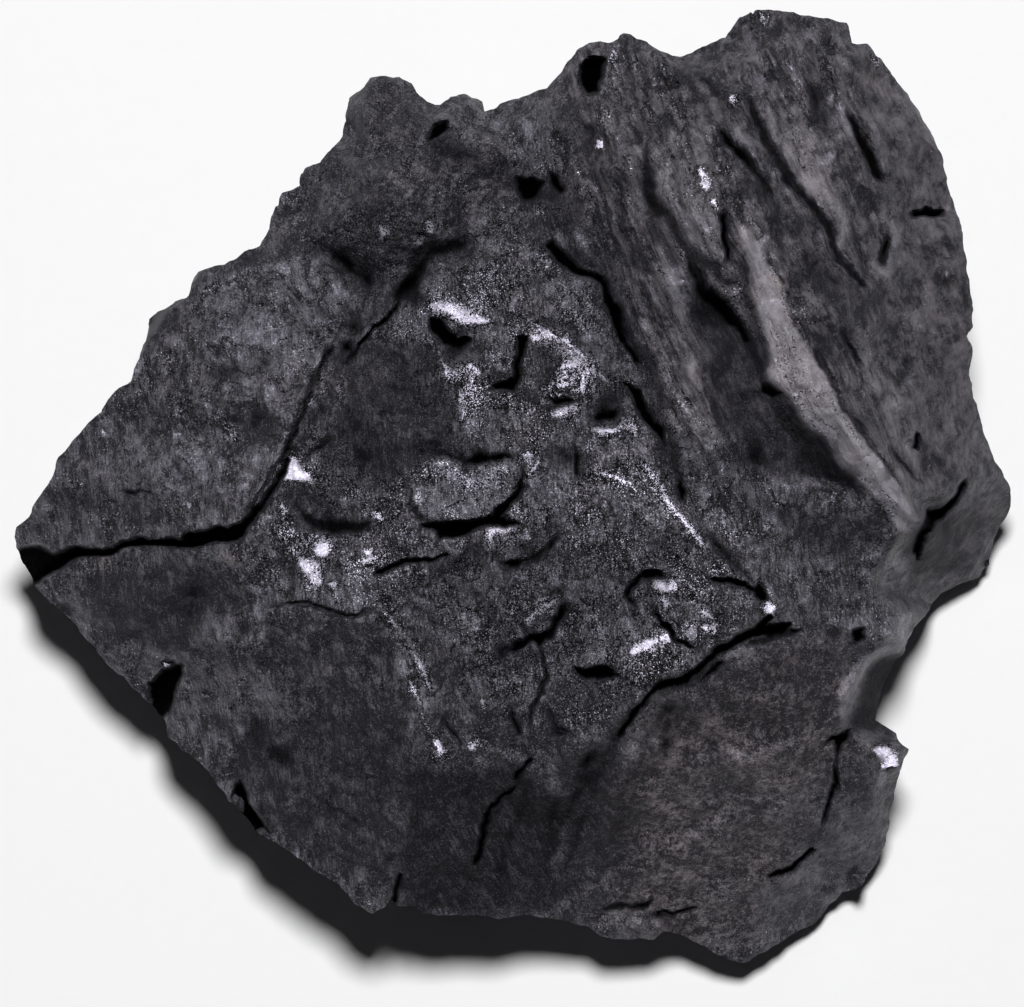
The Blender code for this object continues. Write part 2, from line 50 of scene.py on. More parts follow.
mm = 0.001
unit = 0.0600 / 1000.0
planCentre = (512.0, 490.0)

sheet = {
    "cell": 1.25,         # plan units, spacing of the relief
    "topCells": 460,      # cells of the top each way
    "wallRows": 88,       # rows from the rim down to the foot
    "triangles": 194000,  # after thinning
    "wander": 6.0,        # plan units, how far straight runs stray
    "jitter": 1.5,        # plan units, the same over short lengths
}


# Smooth gradient noise: a random slope at each corner of a unit grid, blended by 6t^5 - 15t^4 + 10t^3.
def noise(x, y, seed):
    bend = np.random.default_rng(seed).random((64, 64)) * 2.0 * math.pi
    slopeX = np.cos(bend)
    slopeY = np.sin(bend)
    xi = np.floor(x).astype(np.int32)
    yi = np.floor(y).astype(np.int32)
    fx = x - xi
    fy = y - yi
    sx = fx * fx * fx * (fx * (fx * 6 - 15) + 10)
    sy = fy * fy * fy * (fy * (fy * 6 - 15) + 10)
    left = xi & 63
    right = (xi + 1) & 63
    near = yi & 63
    far = (yi + 1) & 63
    low = (slopeX[near, left] * fx + slopeY[near, left] * fy) * (1 - sx)
    low += (slopeX[near, right] * (fx - 1) + slopeY[near, right] * fy) * sx
    high = (slopeX[far, left] * fx + slopeY[far, left] * (fy - 1)) * (1 - sx)
    high += (slopeX[far, right] * (fx - 1) + slopeY[far, right] * (fy - 1)) * sx
    return 1.5 * (low * (1 - sy) + high * sy)


# Noise in layers, each half as wide and half as strong as the one before.
def layered(x, y, size, seed, layers):
    total = 0.0
    for k in range(layers):
        total = total + noise(x / size + 7.3 * k, y / size - 3.1 * k, seed + k) * 0.5 ** k
        size = size * 0.5
    return total


# Flat facets: random heights at the corners of a slanted grid of triangles, joined by planes.
def facetNoise(x, y, seed):
    table = np.random.default_rng(seed).random((64, 64)) * 2.0 - 1.0
    bentX = x + 0.35 * noise(x * 0.8, y * 0.8, seed + 500)
    bentY = y + 0.35 * noise(x * 0.8, y * 0.8, seed + 600) + 0.4 * bentX
    xi = np.floor(bentX).astype(np.int32)
    yi = np.floor(bentY).astype(np.int32)
    fx = bentX - xi
    fy = bentY - yi
    a = table[yi & 63, xi & 63]
    b = table[yi & 63, (xi + 1) & 63]
    c = table[(yi + 1) & 63, xi & 63]
    d = table[(yi + 1) & 63, (xi + 1) & 63]
    nearHalf = a + (b - a) * fx + (c - a) * fy
    farHalf = d + (c - d) * (1 - fx) + (b - d) * (1 - fy)
    return np.where(fx + fy < 1.0, nearHalf, farHalf)


# Facets in layers, each layer turned, half as wide and half as high.
def broken(x, y, size, seed, layers):
    total = 0.0
    for k in range(layers):
        turn = 0.6 + 2.1 * k
        across = x * math.cos(turn) + y * math.sin(turn)
        down = y * math.cos(turn) - x * math.sin(turn)
        total = total + facetNoise(across / size, down / size, seed + k) * 0.5 ** k
        size = size * 0.5
    return total


# Broken cells: one random site in each square of a unit grid, off its edges. Gives the distance to the
# nearest site, and a random value and a random slope for each cell.
def cells(x, y, seed):
    table = np.random.default_rng(seed).random((5, 64, 64))
    xi = np.floor(x).astype(np.int32)
    yi = np.floor(y).astype(np.int32)
    nearest = np.full(x.shape, 9.0)
    value = np.zeros(x.shape)
    tilt = np.zeros(x.shape)
    for dy in (-1, 0, 1):
        for dx in (-1, 0, 1):
            cx = (xi + dx) & 63
            cy = (yi + dy) & 63
            awayX = x - (xi + dx + 0.15 + 0.7 * table[0, cy, cx])
            awayY = y - (yi + dy + 0.15 + 0.7 * table[1, cy, cx])
            away = np.hypot(awayX, awayY)
            closer = away < nearest
            slope = awayX * (table[3, cy, cx] - 0.5) + awayY * (table[4, cy, cx] - 0.5)
            value = np.where(closer, table[2, cy, cx], value)
            tilt = np.where(closer, slope, tilt)
            nearest = np.where(closer, away, nearest)
    return nearest, value, tilt


xs = np.arange(-60.0, 1100.0, sheet["cell"])
ys = np.arange(-60.0, 1060.0, sheet["cell"])
planX, planY = np.meshgrid(xs, ys)
wanderX = planX + sheet["wander"] * layered(planX, planY, 60.0, 11, 3)
wanderX += sheet["jitter"] * layered(planX, planY, 10.0, 15, 3)
wanderY = planY + sheet["wander"] * layered(planX, planY, 60.0, 23, 3)
wanderY += sheet["jitter"] * layered(planX, planY, 10.0, 27, 3)

# The rim as seen from above, once round.
outline = [
    (12, 537), (15, 527), (28, 517), (33, 505), (40, 494), (50, 483), (54, 468), (58, 458), (75, 439),
    (88, 424), (101, 412), (109, 399), (120, 389), (132, 381), (139, 358), (146, 340), (148, 319),
    (157, 311), (165, 309), (178, 301), (190, 297), (192, 290), (194, 277), (199, 271), (209, 268),
    (228, 264), (240, 257), (251, 250), (260, 247), (265, 238), (269, 228), (273, 215), (278, 201),
    (283, 192), (300, 186), (301, 175), (306, 168), (320, 163), (328, 155), (341, 139), (345, 128),
    (346, 118), (349, 98), (360, 92), (372, 80), (385, 77), (400, 79), (412, 85), (420, 97), (432, 104),
    (440, 106), (450, 98), (462, 94), (470, 97), (482, 103), (485, 113), (500, 105), (520, 98), (545, 90),
    (555, 82), (562, 72), (570, 60), (578, 53), (590, 45), (600, 43), (610, 45), (618, 41), (622, 35),
    (630, 38), (637, 42), (645, 44), (660, 53), (672, 58), (680, 60), (690, 55), (710, 45), (725, 41),
    (730, 33), (738, 20), (755, 13), (770, 13), (800, 18), (825, 22), (845, 27), (850, 46), (865, 47),
    (880, 62), (895, 82), (905, 95), (920, 112), (930, 135), (940, 155), (945, 175), (952, 200), (960, 225),
    (963, 245), (967, 270), (970, 290), (972, 310), (972, 327), (966, 337), (974, 352), (972, 360),
    (968, 375), (972, 385), (975, 400), (980, 410), (985, 430), (990, 445), (998, 460), (1007, 475),
    (1014, 488), (1016, 497), (1014, 510), (1006, 525), (999, 545), (994, 567), (985, 578), (960, 587),
    (945, 595), (930, 615), (920, 625), (909, 640), (908, 652), (895, 665), (885, 690), (878, 715),
    (877, 733), (890, 732), (899, 734), (900, 742), (911, 749), (905, 765), (900, 780), (897, 800),
    (892, 815), (893, 830), (888, 850), (880, 870), (865, 890), (845, 900), (835, 910), (820, 928),
    (800, 937), (780, 950), (762, 960), (745, 968), (730, 965), (715, 957), (700, 947), (680, 938),
    (665, 935), (655, 943), (640, 942), (615, 942), (598, 938), (590, 930), (560, 922), (530, 918),
    (500, 920), (480, 917), (455, 917), (425, 915), (415, 908), (395, 905), (390, 898), (385, 908),
    (372, 914), (358, 907), (345, 893), (335, 882), (315, 872), (300, 860), (280, 845), (262, 838),
    (255, 832), (240, 812), (228, 800), (215, 783), (200, 765), (180, 750), (168, 738), (163, 722),
    (150, 708), (140, 697), (125, 682), (105, 665), (97, 652), (80, 635), (70, 620), (55, 608), (45, 598),
    (35, 590), (30, 584), (27, 573), (19, 564), (15, 551),
]

# Points a little outside the rim, with the height at which the outer facets end there.
rimGround = [
    (0, 537, 10.5), (40, 470, 14.0), (90, 405, 16.3), (132, 350, 17.6), (180, 290, 18.2), (242, 240, 17.8),
    (265, 190, 15.2), (295, 155, 15.8), (338, 115, 16.0), (372, 65, 17.0), (422, 80, 17.0), (457, 82, 15.5),
    (492, 90, 15.0), (543, 75, 17.0), (573, 38, 19.0), (622, 22, 20.0), (680, 44, 20.0), (730, 8, 21.0),
    (772, 0, 21.5), (852, 16, 21.0), (905, 75, 19.0), (950, 160, 17.0), (980, 260, 15.5), (986, 335, 14.5),
    (992, 385, 12.5), (1012, 450, 9.5), (1030, 497, 4.5), (1006, 570, 1.4), (955, 612, 0.9),
    (922, 655, 2.4), (900, 698, 6.5), (893, 728, 7.5), (922, 738, 10.5), (912, 790, 7.5), (900, 855, 2.6),
    (850, 912, 0.8), (785, 965, 2.7), (745, 985, 3.6), (690, 955, 5.4), (640, 957, 6.9), (560, 936, 8.8),
    (480, 932, 11.4), (415, 925, 12.6), (376, 928, 13.6), (335, 902, 13.6), (252, 850, 12.6),
    (195, 790, 12.0), (145, 720, 10.0), (85, 662, 10.6), (25, 604, 10.0),
]

# Crests, hollows and foot lines that the facets meet along.
spines = {
    "plate front edge": [(62, 552, 13.4), (130, 538, 16.8), (200, 540, 19.3), (242, 528, 20.4),
                         (268, 482, 21.0), (298, 425, 20.8), (326, 348, 19.4), (352, 312, 18.4)],
    "plate back": [(120, 440, 17.0), (165, 372, 18.6), (215, 318, 19.2), (262, 290, 18.8), (312, 300, 18.2)],
    "plate crown": [(150, 470, 18.3), (215, 430, 20.0), (262, 385, 20.4)],
    "knob crest": [(368, 118, 20.6), (388, 178, 23.0), (430, 222, 22.6), (446, 250, 21.4)],
    "knob foot left": [(300, 212, 15.8), (312, 252, 17.2), (352, 272, 18.0), (392, 292, 18.6)],
    "knob foot front": [(398, 302, 18.8), (428, 268, 19.6), (470, 238, 19.8), (512, 214, 19.6)],
    "knob right": [(430, 130, 21.6), (468, 158, 20.6), (520, 188, 19.0)],
    "left tongue": [(272, 566, 19.6), (300, 470, 20.3), (336, 405, 20.3), (372, 345, 20.0)],
    "front crest": [(330, 600, 20.6), (392, 640, 20.6), (410, 712, 19.2), (414, 790, 17.2),
                    (398, 858, 15.4)],
    "front foot": [(470, 700, 19.6), (452, 790, 15.4), (448, 880, 13.0)],
    "middle": [(420, 330, 20.6), (448, 420, 20.8), (440, 520, 20.9), (500, 600, 20.4)],
    "middle right": [(545, 262, 20.0), (590, 345, 20.9), (640, 440, 21.9), (668, 500, 22.1),
                     (706, 560, 21.8)],
    "groove": [(545, 232, 19.4), (592, 268, 20.0), (618, 318, 20.8), (640, 385, 21.4), (668, 455, 21.6),
               (700, 510, 21.4)],
    "fin crest": [(600, 100, 22.0), (622, 160, 22.8), (652, 236, 23.8), (676, 300, 24.0), (698, 372, 23.5),
                  (716, 440, 22.8), (742, 500, 22.0)],
    "fin right foot": [(706, 286, 23.2), (726, 330, 21.9), (744, 400, 20.7), (764, 462, 20.0)],
    "back facet": [(650, 108, 22.8), (692, 128, 24.6), (716, 200, 25.0), (722, 264, 24.4)],
    "pale crest": [(730, 150, 25.0), (744, 232, 26.0), (782, 292, 26.2), (800, 340, 25.8), (832, 394, 25.0),
                   (862, 442, 23.8), (896, 486, 22.2), (913, 524, 20.2)],
    "pale left edge": [(741, 262, 25.4), (756, 322, 25.2), (767, 368, 24.8), (800, 418, 23.6),
                       (838, 468, 22.2), (878, 502, 20.6), (900, 536, 19.4)],
    "hollow": [(736, 312, 23.0), (752, 372, 21.8), (788, 432, 20.4), (830, 480, 19.8), (866, 516, 19.2)],
    "scoop": [(766, 520, 20.8), (820, 545, 19.2), (868, 580, 17.8), (902, 612, 15.6)],
    "front lip": [(706, 606, 22.4), (762, 606, 22.0), (806, 604, 20.4), (858, 634, 18.2), (892, 634, 16.2)],
    "flake lip": [(900, 640, 14.8), (866, 664, 15.8), (846, 706, 15.4)],
    "deep face": [(904, 664, 7.0), (876, 684, 10.6), (862, 722, 11.0)],
    "front step": [(764, 622, 20.8), (716, 662, 21.0), (664, 692, 20.6), (632, 738, 19.4), (560, 760, 18.2)],
    "front ridge": [(770, 650, 20.8), (800, 700, 19.0), (792, 790, 14.4), (772, 880, 8.6), (762, 940, 4.6)],
    "front fold": [(700, 700, 20.4), (676, 760, 17.0), (640, 850, 11.6)],
    "block edge": [(850, 660, 17.2), (842, 732, 15.4), (832, 800, 12.0), (800, 862, 8.4)],
    "block top": [(880, 750, 14.4), (884, 790, 11.4), (866, 848, 6.8)],
    "slab crest": [(800, 40, 23.0), (846, 62, 22.6), (866, 150, 22.6), (884, 240, 21.6), (896, 312, 20.2)],
    "slab face": [(900, 110, 20.0), (930, 200, 18.6), (946, 290, 17.4)],
    "band": [(752, 60, 23.4), (768, 140, 24.6), (806, 214, 25.0), (842, 280, 24.4), (872, 352, 22.4)],
    "right ledge": [(896, 322, 19.6), (932, 342, 18.0), (962, 358, 16.2)],
    "right block": [(884, 400, 20.6), (910, 452, 19.4), (932, 492, 16.8), (966, 482, 14.0)],
    "right block foot": [(908, 528, 18.0), (928, 512, 13.2), (966, 498, 11.4)],
    "low lump": [(918, 596, 7.4), (948, 544, 9.6), (984, 520, 7.6)],
    "left facet": [(90, 600, 12.9), (150, 620, 15.0), (230, 640, 17.6), (300, 700, 17.0), (330, 800, 15.4)],
}

# Single points of the facets between those lines.
loosePoints = [
    (330, 455, 20.4), (500, 290, 20.4), (520, 480, 21.5), (530, 400, 21.0), (600, 520, 21.6),
    (560, 570, 21.0), (600, 600, 21.8), (655, 610, 22.4), (540, 690, 19.6), (500, 760, 17.0),
    (540, 840, 13.6), (560, 150, 19.6), (535, 120, 18.8), (500, 140, 18.4), (590, 200, 21.0),
    (680, 80, 22.8), (830, 180, 23.6), (250, 590, 19.0), (360, 500, 20.6), (240, 740, 14.8),
    (700, 560, 22.2), (730, 840, 11.6), (930, 430, 17.8), (960, 415, 15.6),
]


# The part of the plan between two x and two y, with a margin because straight runs stray.
def window(lowX, highX, lowY, highY, margin):
    left, right = np.searchsorted(xs, [lowX - margin, highX + margin])
    back, front = np.searchsorted(ys, [lowY - margin, highY + margin])
    return slice(back, front), slice(left, right)


# Height of the facets: the plane z = a + b x + c y of each triangle between the points above.
def facets():
    heights = {}
    order = []
    edges = []

    def place(point):
        key = (point[0], point[1])
        if key not in heights:
            heights[key] = point[2]
            order.append(key)
        return order.index(key)

    for run in list(spines.values()) + [rimGround + rimGround[:1]]:
        ids = [place(point) for point in run]
        edges += list(zip(ids[:-1], ids[1:]))
    for point in loosePoints:
        place(point)
    corners, _, triangles, came, _, _ = delaunay_2d_cdt(order, edges, [], 0, 0.001)
    levels = []
    for corner, origin in zip(corners, came):
        nearest = min(order, key=lambda key: (key[0] - corner.x) ** 2 + (key[1] - corner.y) ** 2)
        levels.append(heights[order[origin[0]]] if origin else heights[nearest])
    height = np.full(planX.shape, 10.0)
    for triangle in triangles:
        a, b, c = (np.array([corners[i].x, corners[i].y, levels[i]]) for i in triangle)
        normal = np.cross(b - a, c - a)
        if abs(normal[2]) < 1e-9:
            continue
        low = np.minimum(np.minimum(a, b), c)
        high = np.maximum(np.maximum(a, b), c)
        part = window(low[0], high[0], low[1], high[1], 14.0)
        x = wanderX[part]
        y = wanderY[part]
        turn = np.sign(normal[2])
        within = np.ones(x.shape, bool)
        for p, q in ((a, b), (b, c), (c, a)):
            within &= turn * ((q[0] - p[0]) * (y - p[1]) - (q[1] - p[1]) * (x - p[0])) >= -1e-6
        plane = a[2] - (normal[0] * (x - a[0]) + normal[1] * (y - a[1])) / normal[2]
        height[part][within] = plane[within]
    return height


# Average over a square window, twice. Reach in plan units.
def blur(field, reach):
    steps = int(round(reach / sheet["cell"]))
    for _ in range(2):
        for axis in (0, 1):
            size = list(field.shape)
            size[axis] = 1
            running = np.cumsum(np.concatenate([np.zeros(size), field], axis), axis)
            count = field.shape[axis]
            low = np.clip(np.arange(count) - steps, 0, count)
            high = np.clip(np.arange(count) + steps + 1, 0, count)
            spread = (high - low).reshape((-1, 1) if axis == 0 else (1, -1))
            field = (np.take(running, high, axis) - np.take(running, low, axis)) / spread
    return field


# Window round a run of points: distance from the run, the side of it and the place along it.
def along(run, reach):
    run = np.array(run, float).reshape(-1, 2)
    part = window(run[:, 0].min(), run[:, 0].max(), run[:, 1].min(), run[:, 1].max(), reach)
    x = wanderX[part]
    y = wanderY[part]
    lengths = np.hypot(*(run[1:] - run[:-1]).T)
    reached = np.concatenate([[0.0], np.cumsum(lengths)]) / lengths.sum()
    near = np.full(x.shape, 1e9)
    side = np.zeros(x.shape)
    place = np.zeros(x.shape)
    for k in range(len(run) - 1):
        step = run[k + 1] - run[k]
        t = np.clip(((x - run[k][0]) * step[0] + (y - run[k][1]) * step[1]) / (step @ step), 0.0, 1.0)
        gap = np.hypot(x - run[k][0] - t * step[0], y - run[k][1] - t * step[1])
        turn = np.sign(step[0] * (y - run[k][1]) - step[1] * (x - run[k][0]))
        closer = gap < near
        near = np.where(closer, gap, near)
        side = np.where(closer, turn, side)
        place = np.where(closer, reached[k] + t * (reached[k + 1] - reached[k]), place)
    return part, near, side, place


# One along the middle of a run, down to nothing at both ends.
def ends(place):
    return np.clip(np.minimum(place, 1.0 - place) * 6.0, 0.0, 1.0)


# A cut with steep straight banks: depth times min(1, 2 (1 - distance / reach)).
def cut(field, run, depth, width):
    part, near, _, place = along(run, 2.0 * width + 10.0)
    reach = width * (0.85 + 0.35 * noise(planX[part] / 15.0, planY[part] / 15.0, 31))
    field[part] -= depth * ends(place) * np.clip(2.0 - 2.0 * near / reach, 0.0, 1.0)


# A rib or a soft valley: amount times exp(-(distance / width)^power).
def rib(field, run, amount, width, power=1.3):
    part, near, _, place = along(run, 3.0 * width + 14.0)
    uneven = 1.0 + 0.5 * noise(planX[part] / 18.0, planY[part] / 18.0, 33)
    field[part] += amount * uneven * ends(place) * np.exp(-(near / width) ** power)


# A ledge: on the left of the run the ground is raised by rise times exp(-distance / reach).
def ledge(field, run, rise, reach, bank):
    part, near, side, place = along(run, 3.0 * reach)
    field[part] += rise * ends(place) * np.exp(-near / reach) * np.clip(-side * near / bank, 0.0, 1.0)


# One inside a closed rim and 0 outside, with a slope as wide as the feather over the rim.
def inside(rim, feather):
    corners = np.array(rim, float).reshape(-1, 2)
    closed = np.vstack([corners, corners[:1]])
    part, near, _, _ = along(closed, 8.0 + feather)
    x = wanderX[part]
    y = wanderY[part]
    within = np.zeros(x.shape, bool)
    for (x0, y0), (x1, y1) in zip(closed[:-1], closed[1:]):
        if y0 != y1:
            crosses = (y0 > y) != (y1 > y)
            within ^= crosses & (x < (x1 - x0) * (y - y0) / (y1 - y0) + x0)
    return part, np.clip(0.5 + np.where(within, near, -near) / feather, 0.0, 1.0)


# A small flat face that leans a little to the back: z = mean + lean (y - middle of y), softened at the rim.
def leanFace(field, rim):
    part, amount = inside(rim, 2.5)
    weight = amount.sum() + 1e-9
    x = planX[part]
    y = planY[part]
    mean = (field[part] * amount).sum() / weight
    middleY = (y * amount).sum() / weight
    lean = relief["lean"] + relief["leanChange"] * (middleY - 500.0)
    plane = mean + lean * (y - middleY) * unit / mm
    field[part] = field[part] * (1.0 - relief["flatness"] * amount) + plane * relief["flatness"] * amount


# A round hollow: depth times exp(-(distance / radius)^3). A negative depth raises a knob.
def pit(field, x, y, radius, depth):
    part = window(x, x, y, y, 2.0 * radius + 12.0)
    away = np.hypot(wanderX[part] - x, wanderY[part] - y)
    field[part] -= depth * np.exp(-(away / radius) ** 3)


relief = {
    "plateStep": 1.3,           # mm, also the next four
    "frontStep": 1.5,
    "flakeRise": 0.30,
    "broadRoughness": 0.16,
    "facetRoughness": 0.50,
    "lean": 0.13,               # slope of the polished faces towards the back
    "leanChange": 0.00006,      # more of it for each plan unit to the front
    "flatness": 0.93,           # how much of the old relief a polished face covers
    "cutDeepening": 2.4,        # times the depths in the list of cuts
    "ribFlattening": 0.8,       # times the heights in the list of ribs
}

# Each mark below is a tuple: its numbers, then x and y in turn along its run or round its rim.
ledges = [  # rise, reach, bank, run: the left of the run is raised
    (relief["plateStep"], 90, 3, 30, 580, 50, 560, 80, 550, 130, 546, 200, 545, 238, 542, 252, 505,
     285, 455, 305, 400, 325, 350, 355, 310),
    (relief["frontStep"], 60, 3, 620, 736, 642, 704, 690, 676, 740, 642, 772, 612),
    (0.9, 50, 3, 482, 880, 484, 840, 505, 794, 532, 758),
    (0.35, 30, 4, 378, 608, 345, 616, 330, 612, 300, 602, 268, 603),
    (0.3, 26, 4, 542, 640, 543, 676, 536, 700, 524, 732),
    (0.35, 24, 5, 700, 268, 716, 290, 740, 318, 762, 352), (0.4, 22, 5, 720, 270, 728, 240, 722, 212),
    (0.3, 30, 5, 455, 555, 420, 560, 380, 576), (0.45, 26, 5, 392, 908, 398, 880, 408, 840, 412, 800),
    (0.5, 40, 8, 900, 312, 930, 334, 955, 345, 976, 362),
]

cuts = [  # depth, width, run
    (0.5, 3, 532, 756, 522, 764, 514, 771, 510, 780), (0.6, 3, 644, 702, 636, 713, 627, 729, 621, 740),
    (0.5, 3, 838, 762, 835, 784, 830, 800, 826, 826), (0.4, 4, 721, 212, 724, 240, 721, 270),
    (0.4, 3, 712, 582, 730, 585, 742, 587, 751, 593), (0.5, 3, 652, 608, 660, 622, 674, 635),
    (0.3, 4, 884, 236, 885, 252, 884, 270), (0.2, 4, 801, 342, 824, 378, 851, 418, 876, 456, 898, 486),
    (0.3, 4, 839, 326, 848, 344, 862, 366), (0.45, 1.8, 280, 464, 290, 446, 297, 430, 306, 402, 314, 382),
    (0.3, 1.8, 312, 386, 320, 362, 332, 344), (0.15, 3, 120, 496, 140, 496, 158, 500),
    (0.7, 2.2, 350, 354, 372, 334, 398, 300), (0.2, 3, 664, 452, 680, 478, 686, 504),
    (0.12, 2, 577, 424, 580, 450, 582, 472), (0.35, 5, 500, 566, 524, 562, 548, 550, 558, 534),
    (0.45, 6, 536, 644, 556, 630, 568, 606), (0.3, 5, 500, 652, 526, 644, 546, 632),
    (0.4, 4, 658, 620, 672, 636, 692, 642), (0.4, 4, 708, 582, 734, 585, 752, 592),
    (0.35, 4, 738, 648, 774, 638, 802, 634), (0.25, 2.5, 268, 603, 300, 602, 330, 612, 345, 616, 380, 607),
    (0.35, 3, 541, 640, 543, 676, 536, 700, 524, 732), (0.25, 4, 545, 704, 558, 728, 578, 738),
    (0.25, 4, 444, 712, 452, 730, 462, 746), (0.25, 4, 506, 708, 514, 732),
    (0.15, 2.5, 298, 462, 312, 450, 332, 440), (0.3, 3, 650, 914, 676, 917, 704, 914),
    (1.0, 5, 904, 219, 924, 214, 948, 212),
]

valleys = [  # depth, width, run: soft hollows
    (1.2, 9, 392, 304, 412, 278, 434, 256, 456, 245, 476, 238), (0.22, 11, 196, 382, 236, 372, 280, 356),
    (0.22, 15, 242, 410, 262, 428, 288, 440), (0.3, 9, 44, 492, 60, 502, 78, 496),
    (0.22, 9, 104, 406, 114, 428, 130, 438), (0.9, 12, 306, 248, 342, 264, 384, 290),
    (0.8, 11, 430, 328, 456, 338, 486, 350), (0.4, 8, 560, 398, 575, 404),
    (0.3, 7, 588, 372, 606, 386, 622, 392), (0.25, 10, 450, 450, 480, 456, 508, 448),
    (0.4, 14, 602, 748, 580, 782, 546, 840), (0.35, 10, 592, 800, 598, 840, 584, 870),
    (0.45, 12, 692, 698, 664, 742, 640, 792), (0.35, 9, 782, 508, 800, 520, 812, 534),
    (0.4, 8, 904, 538, 914, 560, 920, 600), (0.4, 7, 738, 440, 748, 458, 762, 474),
    (0.5, 6, 700, 286, 722, 320, 742, 352, 760, 384), (0.35, 6, 806, 84, 812, 110, 832, 140),
    (0.3, 6, 646, 88, 656, 110, 668, 130),
    (0.6, 10, 548, 240, 584, 274, 612, 306, 630, 350, 648, 400, 668, 458, 686, 505),
]

ribs = [  # height, width, run
    (0.5, 8, 562, 600, 545, 616, 524, 632), (0.45, 8, 431, 304, 456, 315, 490, 325),
    (0.3, 4, 424, 104, 440, 117, 456, 125), (0.25, 5, 464, 134, 490, 149, 512, 150, 530, 165),
    (0.25, 4, 388, 130, 378, 146, 368, 154), (0.25, 5, 372, 232, 380, 222, 386, 232),
    (0.35, 5, 416, 244, 430, 222, 438, 232), (0.25, 4, 340, 142, 346, 128, 348, 112),
    (0.25, 6, 466, 366, 470, 385, 464, 400, 466, 416), (0.15, 3, 438, 350, 458, 370),
    (0.35, 7, 530, 330, 548, 346, 566, 358, 586, 378), (0.4, 5, 586, 420, 596, 430, 610, 433, 624, 424),
    (0.35, 5, 544, 404, 558, 414, 574, 410),
    (0.25, 3, 640, 440, 652, 466, 668, 494, 684, 518, 700, 545, 707, 562),
    (0.15, 2.5, 600, 474, 616, 486, 634, 496), (0.3, 6, 632, 658, 648, 643, 666, 634),
    (0.35, 6, 540, 640, 534, 664, 538, 688), (0.18, 3, 382, 600, 396, 626, 414, 655, 426, 672, 434, 692),
    (0.15, 3, 402, 668, 415, 690, 425, 715, 432, 740, 444, 772), (0.12, 3, 364, 664, 374, 680, 382, 694),
    (0.12, 3, 345, 710, 354, 726, 362, 744), (0.12, 3, 334, 818, 352, 832, 372, 842),
    (0.4, 5, 833, 50, 838, 90, 845, 122, 860, 156), (0.4, 6, 868, 246, 879, 272, 889, 294),
    (0.4, 6, 894, 218, 894, 255, 889, 294), (0.45, 5, 860, 338, 872, 388, 892, 432, 914, 462, 934, 492),
    (0.3, 5, 874, 366, 900, 416, 924, 458), (0.45, 7, 894, 310, 930, 335, 955, 345, 974, 360),
    (0.35, 4, 668, 242, 684, 262, 702, 284), (0.3, 5, 600, 96, 606, 122, 600, 150),
    (0.25, 4, 618, 148, 630, 176, 642, 206), (0.35, 6, 888, 768, 882, 800, 874, 832),
    (0.9, 9, 902, 616, 872, 656, 848, 690, 842, 720), (0.3, 5, 742, 400, 744, 424, 750, 444),
    (0.25, 5, 764, 420, 774, 440, 784, 460), (0.25, 4, 832, 446, 846, 470, 862, 490),
    (0.3, 5, 654, 88, 664, 108, 676, 132), (0.22, 7, 560, 790, 546, 818, 536, 840),
    (0.2, 6, 716, 200, 718, 214, 720, 228), (0.25, 5, 708, 226, 712, 250, 716, 266),
    (0.2, 8, 404, 720, 410, 760, 410, 810), (0.3, 4, 254, 512, 266, 504, 276, 494),
]

hollows = [  # x, y, radius, depth; a negative depth raises a knob
    (592, 136, 9, 0.6), (605, 408, 20, 0.8), (466, 102, 18, -0.8), (293, 468, 13, -0.8),
    (325, 547, 9, -0.5), (312, 562, 11, -0.3), (365, 532, 7, -0.4), (366, 560, 9, -0.3),
    (338, 522, 17, 0.5), (500, 384, 11, 0.4), (764, 614, 7, -0.4), (655, 588, 7, -0.4), (668, 586, 6, -0.3),
    (660, 606, 8, -0.35), (690, 626, 13, -0.4), (712, 624, 7, -0.4), (704, 182, 7, -0.35),
    (888, 756, 8, -0.5), (832, 638, 8, 0.6), (905, 365, 8, 0.4), (650, 908, 9, -0.4), (668, 926, 10, -0.35),
    (634, 922, 12, -0.3), (808, 226, 5, 0.5), (730, 104, 5, -0.3), (757, 19, 7, -0.3), (767, 28, 7, -0.3),
    (530, 466, 9, -0.25), (748, 458, 9, 0.4), (62, 610, 7, 0.3), (246, 625, 8, 0.25), (420, 212, 8, 0.3),
    (462, 228, 9, 0.3), (404, 232, 8, 0.25), (500, 612, 6, -0.2), (712, 728, 12, -0.25),
    (836, 752, 5, -0.2),
]

